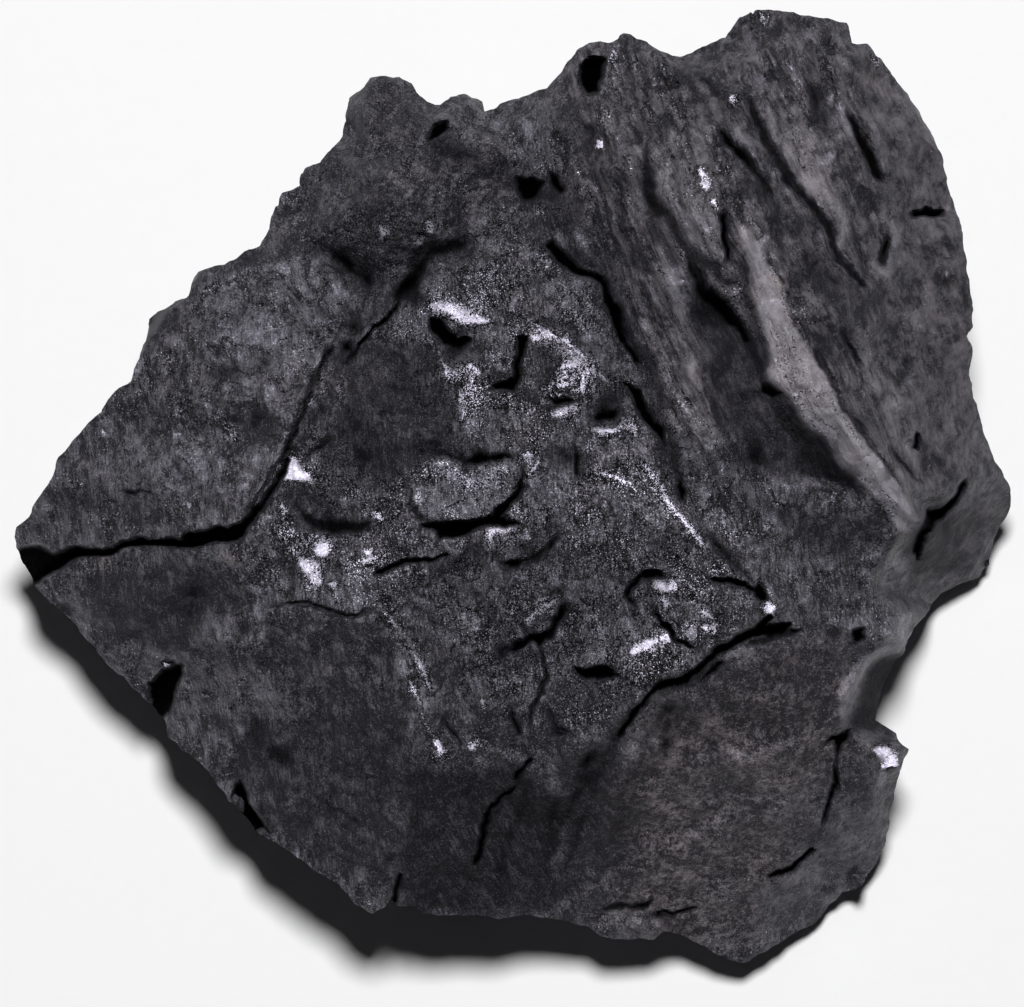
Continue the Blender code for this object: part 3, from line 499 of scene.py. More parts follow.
gaps = [  # depth, bank, closed rim: black wedges between the pieces
    (2.4, 4, 5, 552, 33, 545, 57, 551, 100, 548, 131, 544, 166, 542, 166, 546, 131, 548, 100, 553, 65, 562,
     35, 582, 12, 600),
    (2.2, 3, 150, 543, 180, 540, 192, 529, 231, 529, 244, 519, 257, 503, 273, 481, 288, 457, 291, 459,
     277, 486, 263, 506, 251, 523, 239, 542, 200, 547, 166, 547),
    (1.6, 3, 431, 320, 445, 323, 460, 337, 474, 342, 466, 346, 452, 344, 440, 338, 431, 334),
    (1.8, 3, 520, 342, 527, 344, 527, 353, 522, 362, 519, 380, 516, 388, 511, 394, 491, 390, 489, 385,
     505, 383, 513, 378, 515, 364),
    (1.8, 3, 603, 288, 611, 299, 622, 324, 631, 347, 638, 366, 634, 366, 625, 346, 612, 318, 603, 298),
    (2.0, 4, 622, 384, 634, 387, 645, 406, 656, 428, 663, 450, 654, 439, 642, 421, 630, 400),
    (2.0, 3, 422, 521, 436, 521, 466, 521, 483, 518, 500, 505, 513, 494, 520, 482, 521, 490, 515, 500,
     502, 513, 520, 521, 505, 522, 487, 524, 472, 532, 455, 536, 440, 540, 436, 531, 430, 526),
    (1.2, 2, 376, 572, 393, 568, 412, 563, 448, 555, 449, 557, 420, 566, 394, 573, 377, 577),
    (1.2, 3, 619, 594, 622, 585, 632, 577, 642, 571, 652, 573, 660, 580, 648, 581, 636, 581, 627, 588,
     626, 595, 636, 603, 626, 602),
    (0.8, 3, 545, 396, 556, 398, 568, 399, 578, 401, 568, 406, 556, 404),
    (1.3, 4, 436, 128, 448, 124, 450, 132, 440, 142, 430, 146, 430, 138),
    (1.6, 5, 512, 176, 528, 178, 544, 184, 540, 198, 524, 202, 514, 190),
    (1.0, 3, 552, 174, 560, 178, 568, 196, 563, 199, 554, 186),
    (1.0, 4, 543, 245, 552, 241, 562, 251, 578, 265, 602, 283, 606, 291, 592, 284, 572, 273, 556, 260),
    (2.6, 5, 585, 64, 592, 60, 604, 63, 607, 78, 602, 91, 592, 91, 585, 78),
    (0.6, 3, 684, 256, 697, 270, 714, 290, 728, 309, 741, 330, 747, 344, 740, 343, 724, 324, 709, 305,
     695, 286, 685, 268),
    (0.8, 4, 760, 378, 771, 382, 781, 394, 771, 399, 762, 390),
    (0.5, 3, 746, 98, 756, 108, 768, 134, 782, 164, 798, 190, 816, 208, 834, 242, 852, 268, 865, 293,
     856, 292, 842, 270, 826, 246, 808, 214, 790, 196, 774, 172, 760, 138),
    (0.5, 3, 716, 130, 724, 136, 742, 154, 752, 167, 762, 181, 767, 197, 760, 193, 748, 177, 736, 161,
     722, 144),
    (0.7, 4, 844, 114, 852, 122, 861, 138, 877, 161, 884, 184, 876, 181, 866, 165, 852, 142),
    (0.4, 3, 888, 446, 896, 452, 908, 466, 921, 480, 916, 479, 904, 468, 892, 456),
    (0.9, 3, 915, 430, 922, 433, 921, 449, 914, 447),
    (2.0, 5, 912, 548, 918, 522, 926, 510, 941, 503, 955, 495, 966, 480, 969, 485, 959, 500, 946, 511,
     931, 520, 922, 536, 915, 558),
    (2.2, 4, 148, 688, 158, 674, 168, 668, 184, 664, 182, 676, 176, 690, 172, 705, 162, 722, 150, 716),
    (2.2, 4, 228, 796, 236, 784, 241, 780, 246, 792, 250, 806, 258, 818, 262, 832, 250, 832, 240, 818),
    (1.2, 3, 386, 908, 396, 884, 402, 870, 405, 876, 399, 893, 392, 910),
    (1.0, 4, 751, 590, 758, 581, 766, 588, 766, 598, 758, 603, 750, 598),
    (1.0, 3, 853, 634, 862, 633, 865, 640, 857, 644),
    (2.2, 4, 765, 617, 758, 629, 784, 630, 781, 635, 764, 639, 749, 639, 728, 650, 707, 660, 692, 669,
     683, 677, 664, 686, 654, 694, 647, 703, 641, 704, 651, 690, 661, 678, 681, 669, 700, 656, 728, 641,
     749, 630, 757, 621),
    (0.9, 2, 697, 674, 712, 669, 723, 663, 719, 661, 706, 667),
    (1.6, 3, 574, 662, 588, 666, 603, 666, 612, 671, 621, 674, 600, 676, 585, 674, 577, 669),
    (1.4, 3, 826, 745, 836, 734, 850, 726, 848, 739, 842, 748, 840, 765, 837, 753, 835, 742),
    (1.5, 3, 510, 785, 500, 799, 490, 815, 485, 832, 483, 850, 480, 864, 476, 863, 476, 848, 479, 832,
     484, 817, 494, 802, 505, 788),
    (0.5, 2, 599, 911, 620, 907, 640, 904, 656, 898, 646, 909, 630, 911, 603, 914),
    (1.3, 3, 768, 880, 780, 872, 795, 862, 812, 849, 815, 852, 800, 865, 785, 876, 770, 884),
]

flakes = [  # rise, feather, closed rim
    (relief["flakeRise"], 5, 420, 468, 432, 461, 448, 461, 458, 467, 472, 465, 492, 460, 508, 461, 518, 468,
     520, 481, 512, 495, 500, 506, 480, 516, 460, 523, 440, 521, 424, 516, 411, 500, 414, 486),
    (relief["flakeRise"], 5, 580, 616, 606, 606, 630, 606, 662, 622, 648, 652, 620, 670, 578, 662),
    (0.28, 5, 462, 400, 486, 394, 506, 402, 516, 430, 506, 450, 482, 452, 466, 428),
    (0.25, 8, 690, 700, 720, 706, 736, 724, 722, 742, 698, 736),
]

middleArea = [
    (380, 330), (430, 290), (520, 256), (598, 296), (640, 400), (702, 500), (744, 598), (650, 690),
    (566, 742), (500, 730), (476, 650), (400, 606), (300, 596), (262, 545), (288, 462), (330, 400),
]
knobArea = [
    (335, 130), (380, 70), (430, 96), (520, 160), (560, 200), (520, 226), (440, 262), (380, 296),
    (330, 262), (296, 240), (290, 180),
]
frontArea = [
    (640, 706), (700, 680), (770, 644), (846, 640), (846, 732), (826, 830), (768, 886), (764, 960),
    (690, 950), (600, 920), (610, 800),
]
streakArea = [
    (560, 20), (860, 10), (880, 180), (905, 300), (940, 500), (900, 545), (860, 500), (760, 420),
    (700, 480), (640, 380), (600, 260), (560, 180),
]
rightArea = [
    (850, 30), (1040, 200), (1040, 620), (920, 640), (905, 540), (940, 490), (890, 400), (884, 200),
]
bottomArea = [
    (408, 760), (520, 750), (620, 740), (600, 930), (400, 930),
]

leanFaces = [  # shine, closed rim of a polished face
    (0.9, 431, 305, 440, 303, 462, 311, 488, 321, 492, 328, 478, 328, 456, 322, 434, 314),
    (1.0, 282, 478, 288, 460, 294, 455, 302, 464, 310, 478, 298, 484),
    (0.7, 253, 514, 266, 494, 280, 474, 284, 478, 270, 498, 257, 517),
    (1.0, 315, 547, 322, 541, 332, 542, 337, 550, 328, 556, 318, 555),
    (0.9, 356, 530, 360, 526, 370, 527, 371, 534, 362, 537), (0.7, 362, 553, 372, 552, 376, 564, 368, 569),
    (0.75, 300, 556, 314, 558, 324, 574, 325, 592, 314, 597, 304, 584),
    (0.7, 334, 585, 342, 583, 346, 602, 338, 605), (0.6, 279, 513, 288, 511, 292, 519, 284, 523),
    (0.5, 369, 505, 377, 504, 380, 519, 372, 521), (0.6, 411, 494, 420, 492, 427, 510, 418, 514),
    (0.85, 528, 327, 538, 324, 552, 334, 562, 342, 548, 348, 534, 346),
    (0.8, 550, 336, 564, 340, 580, 352, 590, 368, 586, 378, 574, 372, 564, 360, 552, 352),
    (0.45, 558, 300, 574, 298, 584, 312, 580, 320, 566, 312),
    (0.45, 588, 290, 604, 290, 608, 302, 598, 306),
    (0.75, 552, 366, 564, 364, 576, 372, 577, 384, 566, 388, 555, 382),
    (0.6, 592, 372, 604, 376, 613, 388, 606, 392, 594, 384),
    (0.8, 463, 366, 476, 362, 480, 372, 472, 386, 463, 382),
    (0.8, 458, 388, 466, 388, 470, 414, 463, 420, 456, 408),
    (0.8, 590, 425, 600, 432, 612, 434, 624, 427, 632, 418, 634, 434, 616, 442, 596, 438),
    (0.8, 553, 412, 568, 408, 580, 407, 580, 413, 566, 419, 555, 420),
    (0.6, 602, 396, 618, 395, 619, 401, 604, 402), (0.8, 521, 455, 536, 450, 541, 462, 534, 473, 523, 470),
    (0.9, 696, 163, 705, 166, 712, 187, 707, 198, 699, 188), (0.8, 713, 202, 720, 203, 722, 219, 715, 218),
    (0.9, 877, 742, 888, 746, 898, 751, 896, 765, 882, 768, 885, 757),
    (0.85, 630, 655, 645, 642, 662, 633, 672, 637, 656, 650, 640, 658),
    (0.9, 648, 583, 661, 581, 663, 591, 650, 593), (0.9, 665, 581, 675, 582, 675, 591, 665, 591),
    (0.8, 702, 617, 714, 616, 716, 630, 703, 632), (0.9, 757, 605, 769, 600, 776, 606, 767, 619, 758, 618),
    (0.7, 682, 616, 695, 616, 699, 633, 688, 640, 678, 630),
    (0.7, 526, 618, 545, 604, 562, 597, 563, 606, 546, 617, 531, 627),
    (0.5, 484, 528, 496, 521, 512, 524, 501, 535, 494, 562, 485, 554),
    (0.5, 417, 594, 432, 596, 440, 612, 428, 618, 418, 608), (0.7, 376, 219, 386, 220, 385, 236, 376, 234),
    (0.7, 424, 219, 434, 222, 437, 237, 427, 235), (0.6, 413, 235, 425, 233, 425, 249, 414, 253),
    (0.7, 368, 127, 379, 129, 377, 143, 367, 142), (0.6, 340, 121, 349, 121, 348, 137, 339, 139),
    (0.8, 607, 53, 617, 55, 617, 69, 607, 67), (0.7, 593, 143, 602, 142, 604, 153, 594, 154),
    (0.7, 723, 99, 735, 100, 736, 111, 725, 112), (0.8, 753, 14, 765, 15, 775, 26, 769, 35, 756, 27),
    (0.6, 871, 59, 881, 61, 882, 71, 872, 71), (0.8, 242, 813, 253, 814, 253, 825, 244, 825),
    (0.8, 159, 663, 172, 660, 174, 669, 161, 672), (0.6, 351, 145, 361, 148, 361, 161, 352, 159),
    (0.5, 539, 211, 549, 210, 551, 221, 541, 222), (0.5, 507, 225, 517, 225, 517, 239, 508, 239),
    (0.5, 464, 735, 477, 732, 481, 745, 469, 750), (0.4, 392, 640, 404, 642, 418, 664, 410, 668),
    (0.4, 466, 676, 484, 670, 492, 690, 476, 698), (0.5, 612, 320, 620, 324, 632, 352, 628, 362, 618, 344),
]


# Height of the top in mm before its grain: facets, then ledges, cuts, valleys, ribs, hollows, flakes and
# gaps, then broad roughness.
def topRelief():
    height = blur(facets(), 4.0)
    for rise, reach, bank, *run in ledges:
        ledge(height, run, rise, reach, bank)
    for depth, width, *run in cuts:
        cut(height, run, relief["cutDeepening"] * depth, width)
    for depth, width, *run in valleys:
        rib(height, run, -depth, width, 2.0)
    for rise, width, *run in ribs:
        rib(height, run, relief["ribFlattening"] * rise, width)
    for x, y, radius, depth in hollows:
        pit(height, x, y, radius, depth)
    for rise, feather, *rim in flakes:
        part, amount = inside(rim, feather)
        height[part] += rise * amount
    for depth, bank, *rim in gaps:
        part, amount = inside(rim, bank)
        height[part] -= depth * amount
    height += relief["broadRoughness"] * layered(planX, planY, 70.0, 41, 3)
    height += relief["facetRoughness"] * broken(planX, planY, 46.0, 45, 4)
    return height


# Soft mask of an area: one inside, falling to nothing over the feather outside.
def area(rim, feather):
    mask = np.zeros(planX.shape)
    part, amount = inside(rim, 1.0)
    mask[part] = amount
    return blur(mask, feather)


height = topRelief()
middle = area(middleArea, 14.0)
knob = area(knobArea, 14.0)
front = area(frontArea, 14.0)
streaks = area(streakArea, 16.0)
right = area(rightArea, 16.0)
bottom = area(bottomArea, 18.0)
leftSide = np.clip(1.0 - middle - knob - front - streaks - right - bottom, 0.0, 1.0)
print("relief of the facets, ledges and cracks done")

grainDepth = {  # mm, before the patterns' own heights
    "middleChips": 0.26, "knobChips": 0.30,
    "middleFacets": 0.14, "facets": 0.05,
    "levelLines": 0.05,
    "broadFaces": 0.20,
    "scarps": 0.16, "smallScarps": 0.07,
    "streaks": 0.34, "rightStreaks": 0.16, "slivers": 0.12,
    "knobGrain": 0.20, "knobFacets": 0.22,
    "rightFacets": 0.26,
    "soot": 0.085, "frontWaves": 0.16,
    "folds": 0.16, "smallFolds": 0.07,
    "satin": 0.07, "leftFibres": 0.05,
    "finest": 0.040,
    "rings": 0.13,
}

# small shell-shaped chips in places, fine level lines on the left of the middle
chipAway, _, chipLean = cells(wanderX / 13.0 + 5.0, wanderY / 11.0, 62)
chips = np.clip(2.2 * layered(planX, planY, 70.0, 63, 2) - 0.15, 0.0, 1.0)
chipDepth = grainDepth["middleChips"] * middle + grainDepth["knobChips"] * knob
height += chipDepth * chips * (0.45 * chipAway ** 2 + 0.8 * chipLean)
facetDepth = grainDepth["middleFacets"] * middle + grainDepth["facets"]
height += facetDepth * broken(planX, planY, 17.0, 64, 3)
lines = np.exp(-(((planX - 410.0) / 75.0) ** 2 + ((planY - 385.0) / 50.0) ** 2) ** 2)
height += grainDepth["levelLines"] * lines * noise(planX / 60.0, wanderY / 4.5, 68)

# broken faces: each broad cell leans its own way, and small cells differ in finish only
faceX = wanderX + 9.0 * noise(planX / 23.0, planY / 23.0, 311)
faceY = wanderY + 9.0 * noise(planX / 23.0, planY / 23.0, 312)
_, broadValue, broadLean = cells(faceX / 46.0, faceY / 34.0, 301)
_, smallValue, _ = cells(faceX / 17.0, faceY / 13.0, 302)
smallHere = np.clip(0.55 + 1.5 * layered(planX, planY, 80.0, 303, 2), 0.0, 1.0)
plain = np.clip(1.0 - 0.6 * front - 0.5 * bottom - 0.3 * streaks, 0.0, 1.0)
height += plain * grainDepth["broadFaces"] * broadLean

# scarps: a slow rise that drops at once, curved round the crest of the lump
turned = 0.55 * wanderX + 0.85 * wanderY + 26.0 * layered(planX, planY, 120.0, 75, 3)
for size, rise, seed in ((47.0, grainDepth["scarps"], 76), (19.0, grainDepth["smallScarps"], 77)):
    level = turned / size + 1.4 * layered(planX, planY, 60.0, seed, 3)
    patchy = np.clip(0.5 + 1.6 * layered(planX, planY, 90.0, seed + 5, 2), 0.0, 1.0)
    height += rise * patchy * (1.0 - 0.6 * front) * (level - np.floor(level))

# streaks that run to the front right, bending with the distance from the back edge
acrossStreak = wanderX - 0.15 * wanderY - 0.00055 * wanderY ** 2
alongStreak = wanderY * 0.9 + wanderX * 0.3
grooving = 0.7 * noise(acrossStreak / 17.0, alongStreak / 150.0, 71)
grooving += 0.45 * noise(acrossStreak / 8.0, alongStreak / 90.0, 72)
grooving += 0.22 * noise(acrossStreak / 4.0, alongStreak / 60.0, 73)
height += (grainDepth["streaks"] * streaks + grainDepth["rightStreaks"] * right) * grooving
_, sliverValue, sliverLean = cells(acrossStreak / 12.0, alongStreak / 110.0, 304)
height += streaks * grainDepth["slivers"] * sliverLean
bands = 0.8 * noise(acrossStreak / 15.0, alongStreak / 190.0, 305)
bands += 0.6 * noise(acrossStreak / 6.0, alongStreak / 120.0, 306)

# rough broken knob, broken right side, sooty front, smooth folds at the bottom, satin grain on the left
rubble = grainDepth["knobGrain"] * layered(planX, planY, 22.0, 81, 3)
rubble += grainDepth["knobFacets"] * broken(planX, planY, 20.0, 82, 3)
height += knob * rubble
height += right * (grainDepth["rightFacets"] * broken(planX, planY, 60.0, 103, 4))
sooty = grainDepth["soot"] * layered(planX, planY, 12.0, 84, 3)
sooty += grainDepth["frontWaves"] * layered(planX, planY, 44.0, 87, 2)
height += front * sooty
fold = (planX * 0.94 + planY * 0.34) + 10.0 * noise(planX / 80.0, planY / 80.0, 90)
folds = grainDepth["folds"] * noise(fold / 16.0, planY / 130.0, 91)
folds += grainDepth["smallFolds"] * noise(fold / 6.0, planY / 80.0, 92)
height += bottom * folds
satin = grainDepth["satin"] * layered(planX, planY * 0.7, 30.0, 94, 3)
satin += grainDepth["leftFibres"] * noise(planX / 5.0, planY / 14.0, 97)
height += leftSide * satin
finest = grainDepth["finest"] * layered(planX, planY, 7.0, 99, 2)
height += finest * (0.6 + 0.8 * knob + 0.6 * middle)

# rings round one small bowl of the middle
ringAway = np.hypot(wanderX - 565.0, (wanderY - 378.0) * 1.15)
ripple = grainDepth["rings"] * np.cos(2.0 * math.pi * ringAway / 7.0)
height += ripple * np.exp(-(ringAway / 19.0) ** 4)
print("grain of each area done")

for _, *rim in leanFaces:
    leanFace(height, rim)
print("polished faces done")

# the dust of each area is partly painted light: it also sets how light the area looks
finish = {
    "gloss": {"left": 0.48, "middle": 0.60, "knob": 0.48, "front": 0.20, "streaks": 0.40, "right": 0.32,
              "bottom": 0.24},
    "dustAndPaintedLight": {"left": 0.16, "middle": 0.07, "knob": 0.00, "front": 0.23, "streaks": 0.16, "right": 0.31,
             "bottom": 0.00},
    "sparkle": {"left": 0.17, "middle": 0.27, "knob": 0.23, "front": 0.15, "streaks": 0.09, "right": 0.04,
                "bottom": 0.12},
    "grain": {"left": 1.10, "middle": 1.35, "knob": 1.40, "front": 1.30, "streaks": 0.75, "right": 0.52,
              "bottom": 1.50},
    "warm": {"left": 0.05, "middle": 0.05, "knob": 0.20, "front": 0.80, "streaks": 0.35, "right": 0.45,
             "bottom": 0.15},
}
finishNoise = {
    "gloss": 0.20, "dustAndPaintedLight": 0.16, "warm": 0.25,  # patches everywhere
    "streakGloss": 0.25, "bandDust": 0.27,      # along the streaks
    "faceGloss": 0.36, "faceDust": 0.24,        # from one broken face to the next
}
areas = {"left": leftSide, "middle": middle, "knob": knob, "front": front, "streaks": streaks,
         "right": right, "bottom": bottom}


# Sum of one value of the finish over the areas, each by its mask.
def weighed(kind):
    return sum(finish[kind][name] * mask for name, mask in areas.items())


covered = sum(areas.values())
gloss = weighed("gloss") / covered
dustAndPaintedLight = weighed("dustAndPaintedLight") / covered
fine = weighed("grain") / covered
warm = weighed("warm") / covered
gloss += finishNoise["gloss"] * layered(planX, planY, 46.0, 111, 4) * (0.5 + middle)
dustAndPaintedLight += finishNoise["dustAndPaintedLight"] * layered(planX, planY, 38.0, 121, 4)
dustAndPaintedLight += finishNoise["bandDust"] * streaks * bands
gloss += finishNoise["streakGloss"] * streaks * noise(acrossStreak / 10.0, alongStreak / 150.0, 307)
# each face has its own gloss and dust; the dust takes another random value, from the same one times 7.31
for value, amount in ((broadValue, 0.9 * plain), (smallValue, 0.7 * plain * smallHere),
                      (sliverValue, 0.9 * streaks)):
    gloss += amount * finishNoise["faceGloss"] * (value - 0.5)
    dustAndPaintedLight += amount * finishNoise["faceDust"] * ((value * 7.31) % 1.0 - 0.5)
warm += finishNoise["warm"] * layered(planX, planY, 70.0, 131, 3)

paintedShadeStrokes = [  # painted shade along creases, fissures and shaded sides: darkness, width, run
    (0.5, 2.5, 568, 494, 562, 516, 556, 536, 549, 556),
    (0.5, 3, 541, 590, 556, 586, 566, 600, 558, 620, 542, 640, 535, 660, 534, 680),
    (0.45, 3, 486, 552, 504, 560, 520, 564), (0.45, 4, 470, 540, 474, 556, 486, 566),
    (0.4, 3, 380, 364, 396, 360, 408, 364), (0.4, 3, 384, 392, 404, 386, 424, 390),
    (0.4, 3, 382, 414, 402, 410, 426, 416), (0.45, 4, 520, 392, 532, 398, 544, 392),
    (0.45, 3, 536, 404, 552, 410, 566, 402), (0.4, 3, 424, 560, 448, 570, 470, 572),
    (0.4, 3, 400, 604, 424, 612, 440, 628), (0.4, 2.5, 470, 580, 486, 600, 496, 624),
    (0.45, 3, 600, 560, 612, 572, 624, 590), (0.55, 9, 424, 268, 400, 290, 374, 316, 352, 340, 332, 366),
    (0.45, 8, 434, 138, 460, 156, 484, 172, 506, 184), (0.5, 6, 526, 214, 541, 232, 552, 244),
    (0.4, 10, 346, 300, 356, 318, 350, 334), (0.5, 5, 633, 169, 648, 200, 664, 240, 679, 276),
    (0.4, 8, 560, 440, 580, 452, 586, 474), (0.4, 4, 560, 520, 546, 534, 524, 552, 504, 566),
    (0.45, 3, 470, 600, 486, 588, 500, 574), (0.5, 6, 692, 664, 668, 700, 646, 740, 628, 790, 612, 850),
    (0.45, 6, 640, 704, 612, 748, 590, 800, 575, 850, 566, 900),
    (0.35, 6, 600, 740, 580, 782, 560, 830, 548, 880), (0.4, 5, 536, 770, 520, 800, 508, 840, 500, 890),
    (0.35, 6, 716, 676, 700, 706, 688, 744, 668, 790), (0.6, 4, 684, 500, 704, 530, 722, 552, 756, 590),
    (0.25, 6, 330, 246, 352, 268, 372, 290, 392, 300),
    (0.55, 4, 372, 352, 352, 354, 336, 372, 322, 400, 306, 430, 292, 452),
    (0.4, 5, 786, 200, 802, 258, 846, 322, 866, 372), (0.45, 4, 404, 468, 410, 500, 424, 520),
    (0.75, 4, 428, 455, 446, 454, 466, 461, 490, 456, 514, 455), (0.6, 4, 456, 454, 474, 456, 494, 449),
    (0.7, 2.5, 520, 462, 522, 474, 520, 486), (0.4, 3, 342, 560, 343, 582, 349, 606),
    (0.5, 6, 560, 250, 590, 262, 612, 300, 640, 350), (0.4, 5, 622, 60, 640, 110, 648, 160),
    (0.35, 5, 690, 60, 720, 120, 740, 170, 742, 220),
    (0.5, 5, 812, 40, 806, 80, 810, 110, 822, 130, 828, 150), (0.5, 4, 745, 220, 770, 228, 796, 240),
    (0.45, 4, 700, 76, 712, 96, 722, 110, 742, 120), (0.5, 4, 676, 70, 690, 88, 700, 110, 716, 130),
    (0.5, 6, 640, 150, 650, 185, 662, 212, 680, 240), (0.5, 7, 598, 170, 612, 180, 626, 190, 636, 205),
    (0.5, 4, 726, 200, 722, 240, 722, 262), (0.5, 5, 740, 180, 752, 196, 768, 214, 772, 230),
    (0.4, 4, 862, 226, 872, 256, 884, 276), (0.4, 3, 880, 220, 884, 240, 886, 262),
    (0.5, 7, 800, 250, 824, 270, 850, 300, 858, 312), (0.35, 6, 810, 320, 826, 350, 842, 370),
    (0.4, 4, 868, 384, 876, 408, 890, 432), (0.45, 3, 894, 444, 908, 458, 918, 476),
    (0.45, 4, 874, 322, 888, 326, 902, 332), (0.45, 5, 902, 356, 908, 364),
    (0.5, 6, 640, 340, 650, 362, 660, 384, 668, 410), (0.5, 5, 704, 372, 712, 396, 716, 420, 718, 440),
    (0.5, 6, 650, 400, 664, 430, 676, 452, 684, 470), (0.35, 8, 676, 300, 686, 330, 700, 360),
    (0.7, 4, 678, 476, 683, 502), (0.5, 9, 800, 430, 830, 452, 860, 480), (0.45, 5, 716, 540, 736, 556),
    (0.7, 3, 712, 582, 728, 584, 742, 586, 752, 594), (0.4, 5, 752, 500, 772, 516, 796, 530),
    (0.4, 9, 800, 534, 830, 542, 850, 556), (0.5, 10, 934, 510, 918, 540, 924, 580),
    (0.35, 9, 960, 500, 944, 530, 940, 560), (0.6, 3, 540, 322, 552, 330, 566, 328),
    (0.6, 5, 558, 402, 566, 404, 574, 400), (0.6, 5, 594, 412, 600, 418, 610, 418, 616, 410),
    (0.4, 6, 590, 340, 604, 358, 612, 372), (0.4, 4, 566, 320, 578, 334, 590, 350),
    (0.4, 6, 530, 384, 545, 376, 548, 362), (0.4, 5, 530, 356, 548, 356, 560, 366),
    (0.5, 4, 548, 446, 566, 448, 574, 462), (0.5, 2, 578, 436, 579, 456, 582, 474),
    (0.5, 8, 440, 340, 452, 350, 466, 350), (0.45, 5, 416, 440, 430, 444, 446, 446),
    (0.35, 7, 388, 450, 410, 448, 440, 452), (0.45, 4, 462, 424, 468, 440, 484, 452, 516, 458),
    (0.6, 3, 324, 400, 322, 420, 328, 434, 334, 440), (0.6, 3, 304, 454, 316, 446, 330, 440),
    (0.45, 7, 296, 486, 312, 494, 330, 500), (0.6, 6, 292, 504, 302, 516, 314, 524),
    (0.5, 4, 516, 620, 508, 632, 502, 650, 506, 670), (0.5, 5, 512, 652, 528, 640, 546, 624),
    (0.4, 5, 508, 700, 514, 720, 512, 736), (0.6, 4, 552, 586, 560, 594), (0.6, 6, 400, 700, 408, 712),
    (0.55, 6, 690, 690, 672, 706, 664, 730, 660, 756), (0.5, 7, 642, 700, 630, 720, 612, 745),
    (0.35, 9, 600, 745, 590, 770, 575, 800), (0.4, 8, 560, 790, 550, 820, 556, 840),
    (0.35, 6, 590, 880, 570, 894, 555, 900), (0.6, 3, 534, 752, 520, 764, 511, 780),
    (0.7, 3, 545, 715, 556, 732, 572, 738), (0.4, 5, 820, 744, 804, 760, 796, 776),
    (0.4, 6, 706, 744, 716, 756, 728, 760), (0.3, 8, 756, 664, 790, 668, 800, 680),
    (0.4, 7, 800, 700, 806, 720), (0.45, 3, 800, 620, 812, 614), (0.4, 5, 850, 634, 862, 640),
    (0.6, 2, 632, 902, 648, 906, 660, 900), (0.5, 3, 650, 912, 664, 920, 690, 934, 706, 944),
    (0.5, 5, 44, 488, 58, 502), (0.4, 5, 56, 462, 72, 464), (0.4, 7, 112, 428, 122, 426),
    (0.5, 3, 122, 494, 134, 498, 150, 500, 158, 504), (0.3, 12, 126, 514, 160, 514),
    (0.4, 3, 158, 440, 168, 448, 180, 462, 188, 490), (0.4, 6, 160, 330, 180, 318, 190, 312),
    (0.45, 8, 206, 378, 228, 374, 244, 366), (0.45, 6, 262, 364, 276, 360), (0.45, 9, 246, 420, 262, 426),
    (0.45, 6, 330, 330, 340, 342, 352, 348), (0.6, 6, 322, 346, 330, 356, 336, 362),
    (0.25, 8, 334, 252, 350, 262, 360, 280), (0.4, 5, 322, 300, 324, 320), (0.35, 8, 356, 450, 372, 456),
    (0.55, 5, 288, 562, 286, 578), (0.5, 5, 252, 620, 246, 632), (0.45, 6, 184, 580, 192, 596, 186, 620),
    (0.35, 7, 268, 640, 280, 648), (0.4, 10, 250, 722, 262, 730), (0.5, 10, 276, 744, 286, 756, 284, 768),
    (0.5, 5, 258, 800, 262, 830), (0.35, 10, 292, 826, 300, 834), (0.5, 5, 58, 604, 66, 610),
    (0.4, 4, 84, 640, 96, 648, 112, 650), (0.35, 6, 320, 812, 344, 820), (0.35, 8, 330, 730, 344, 736),
]

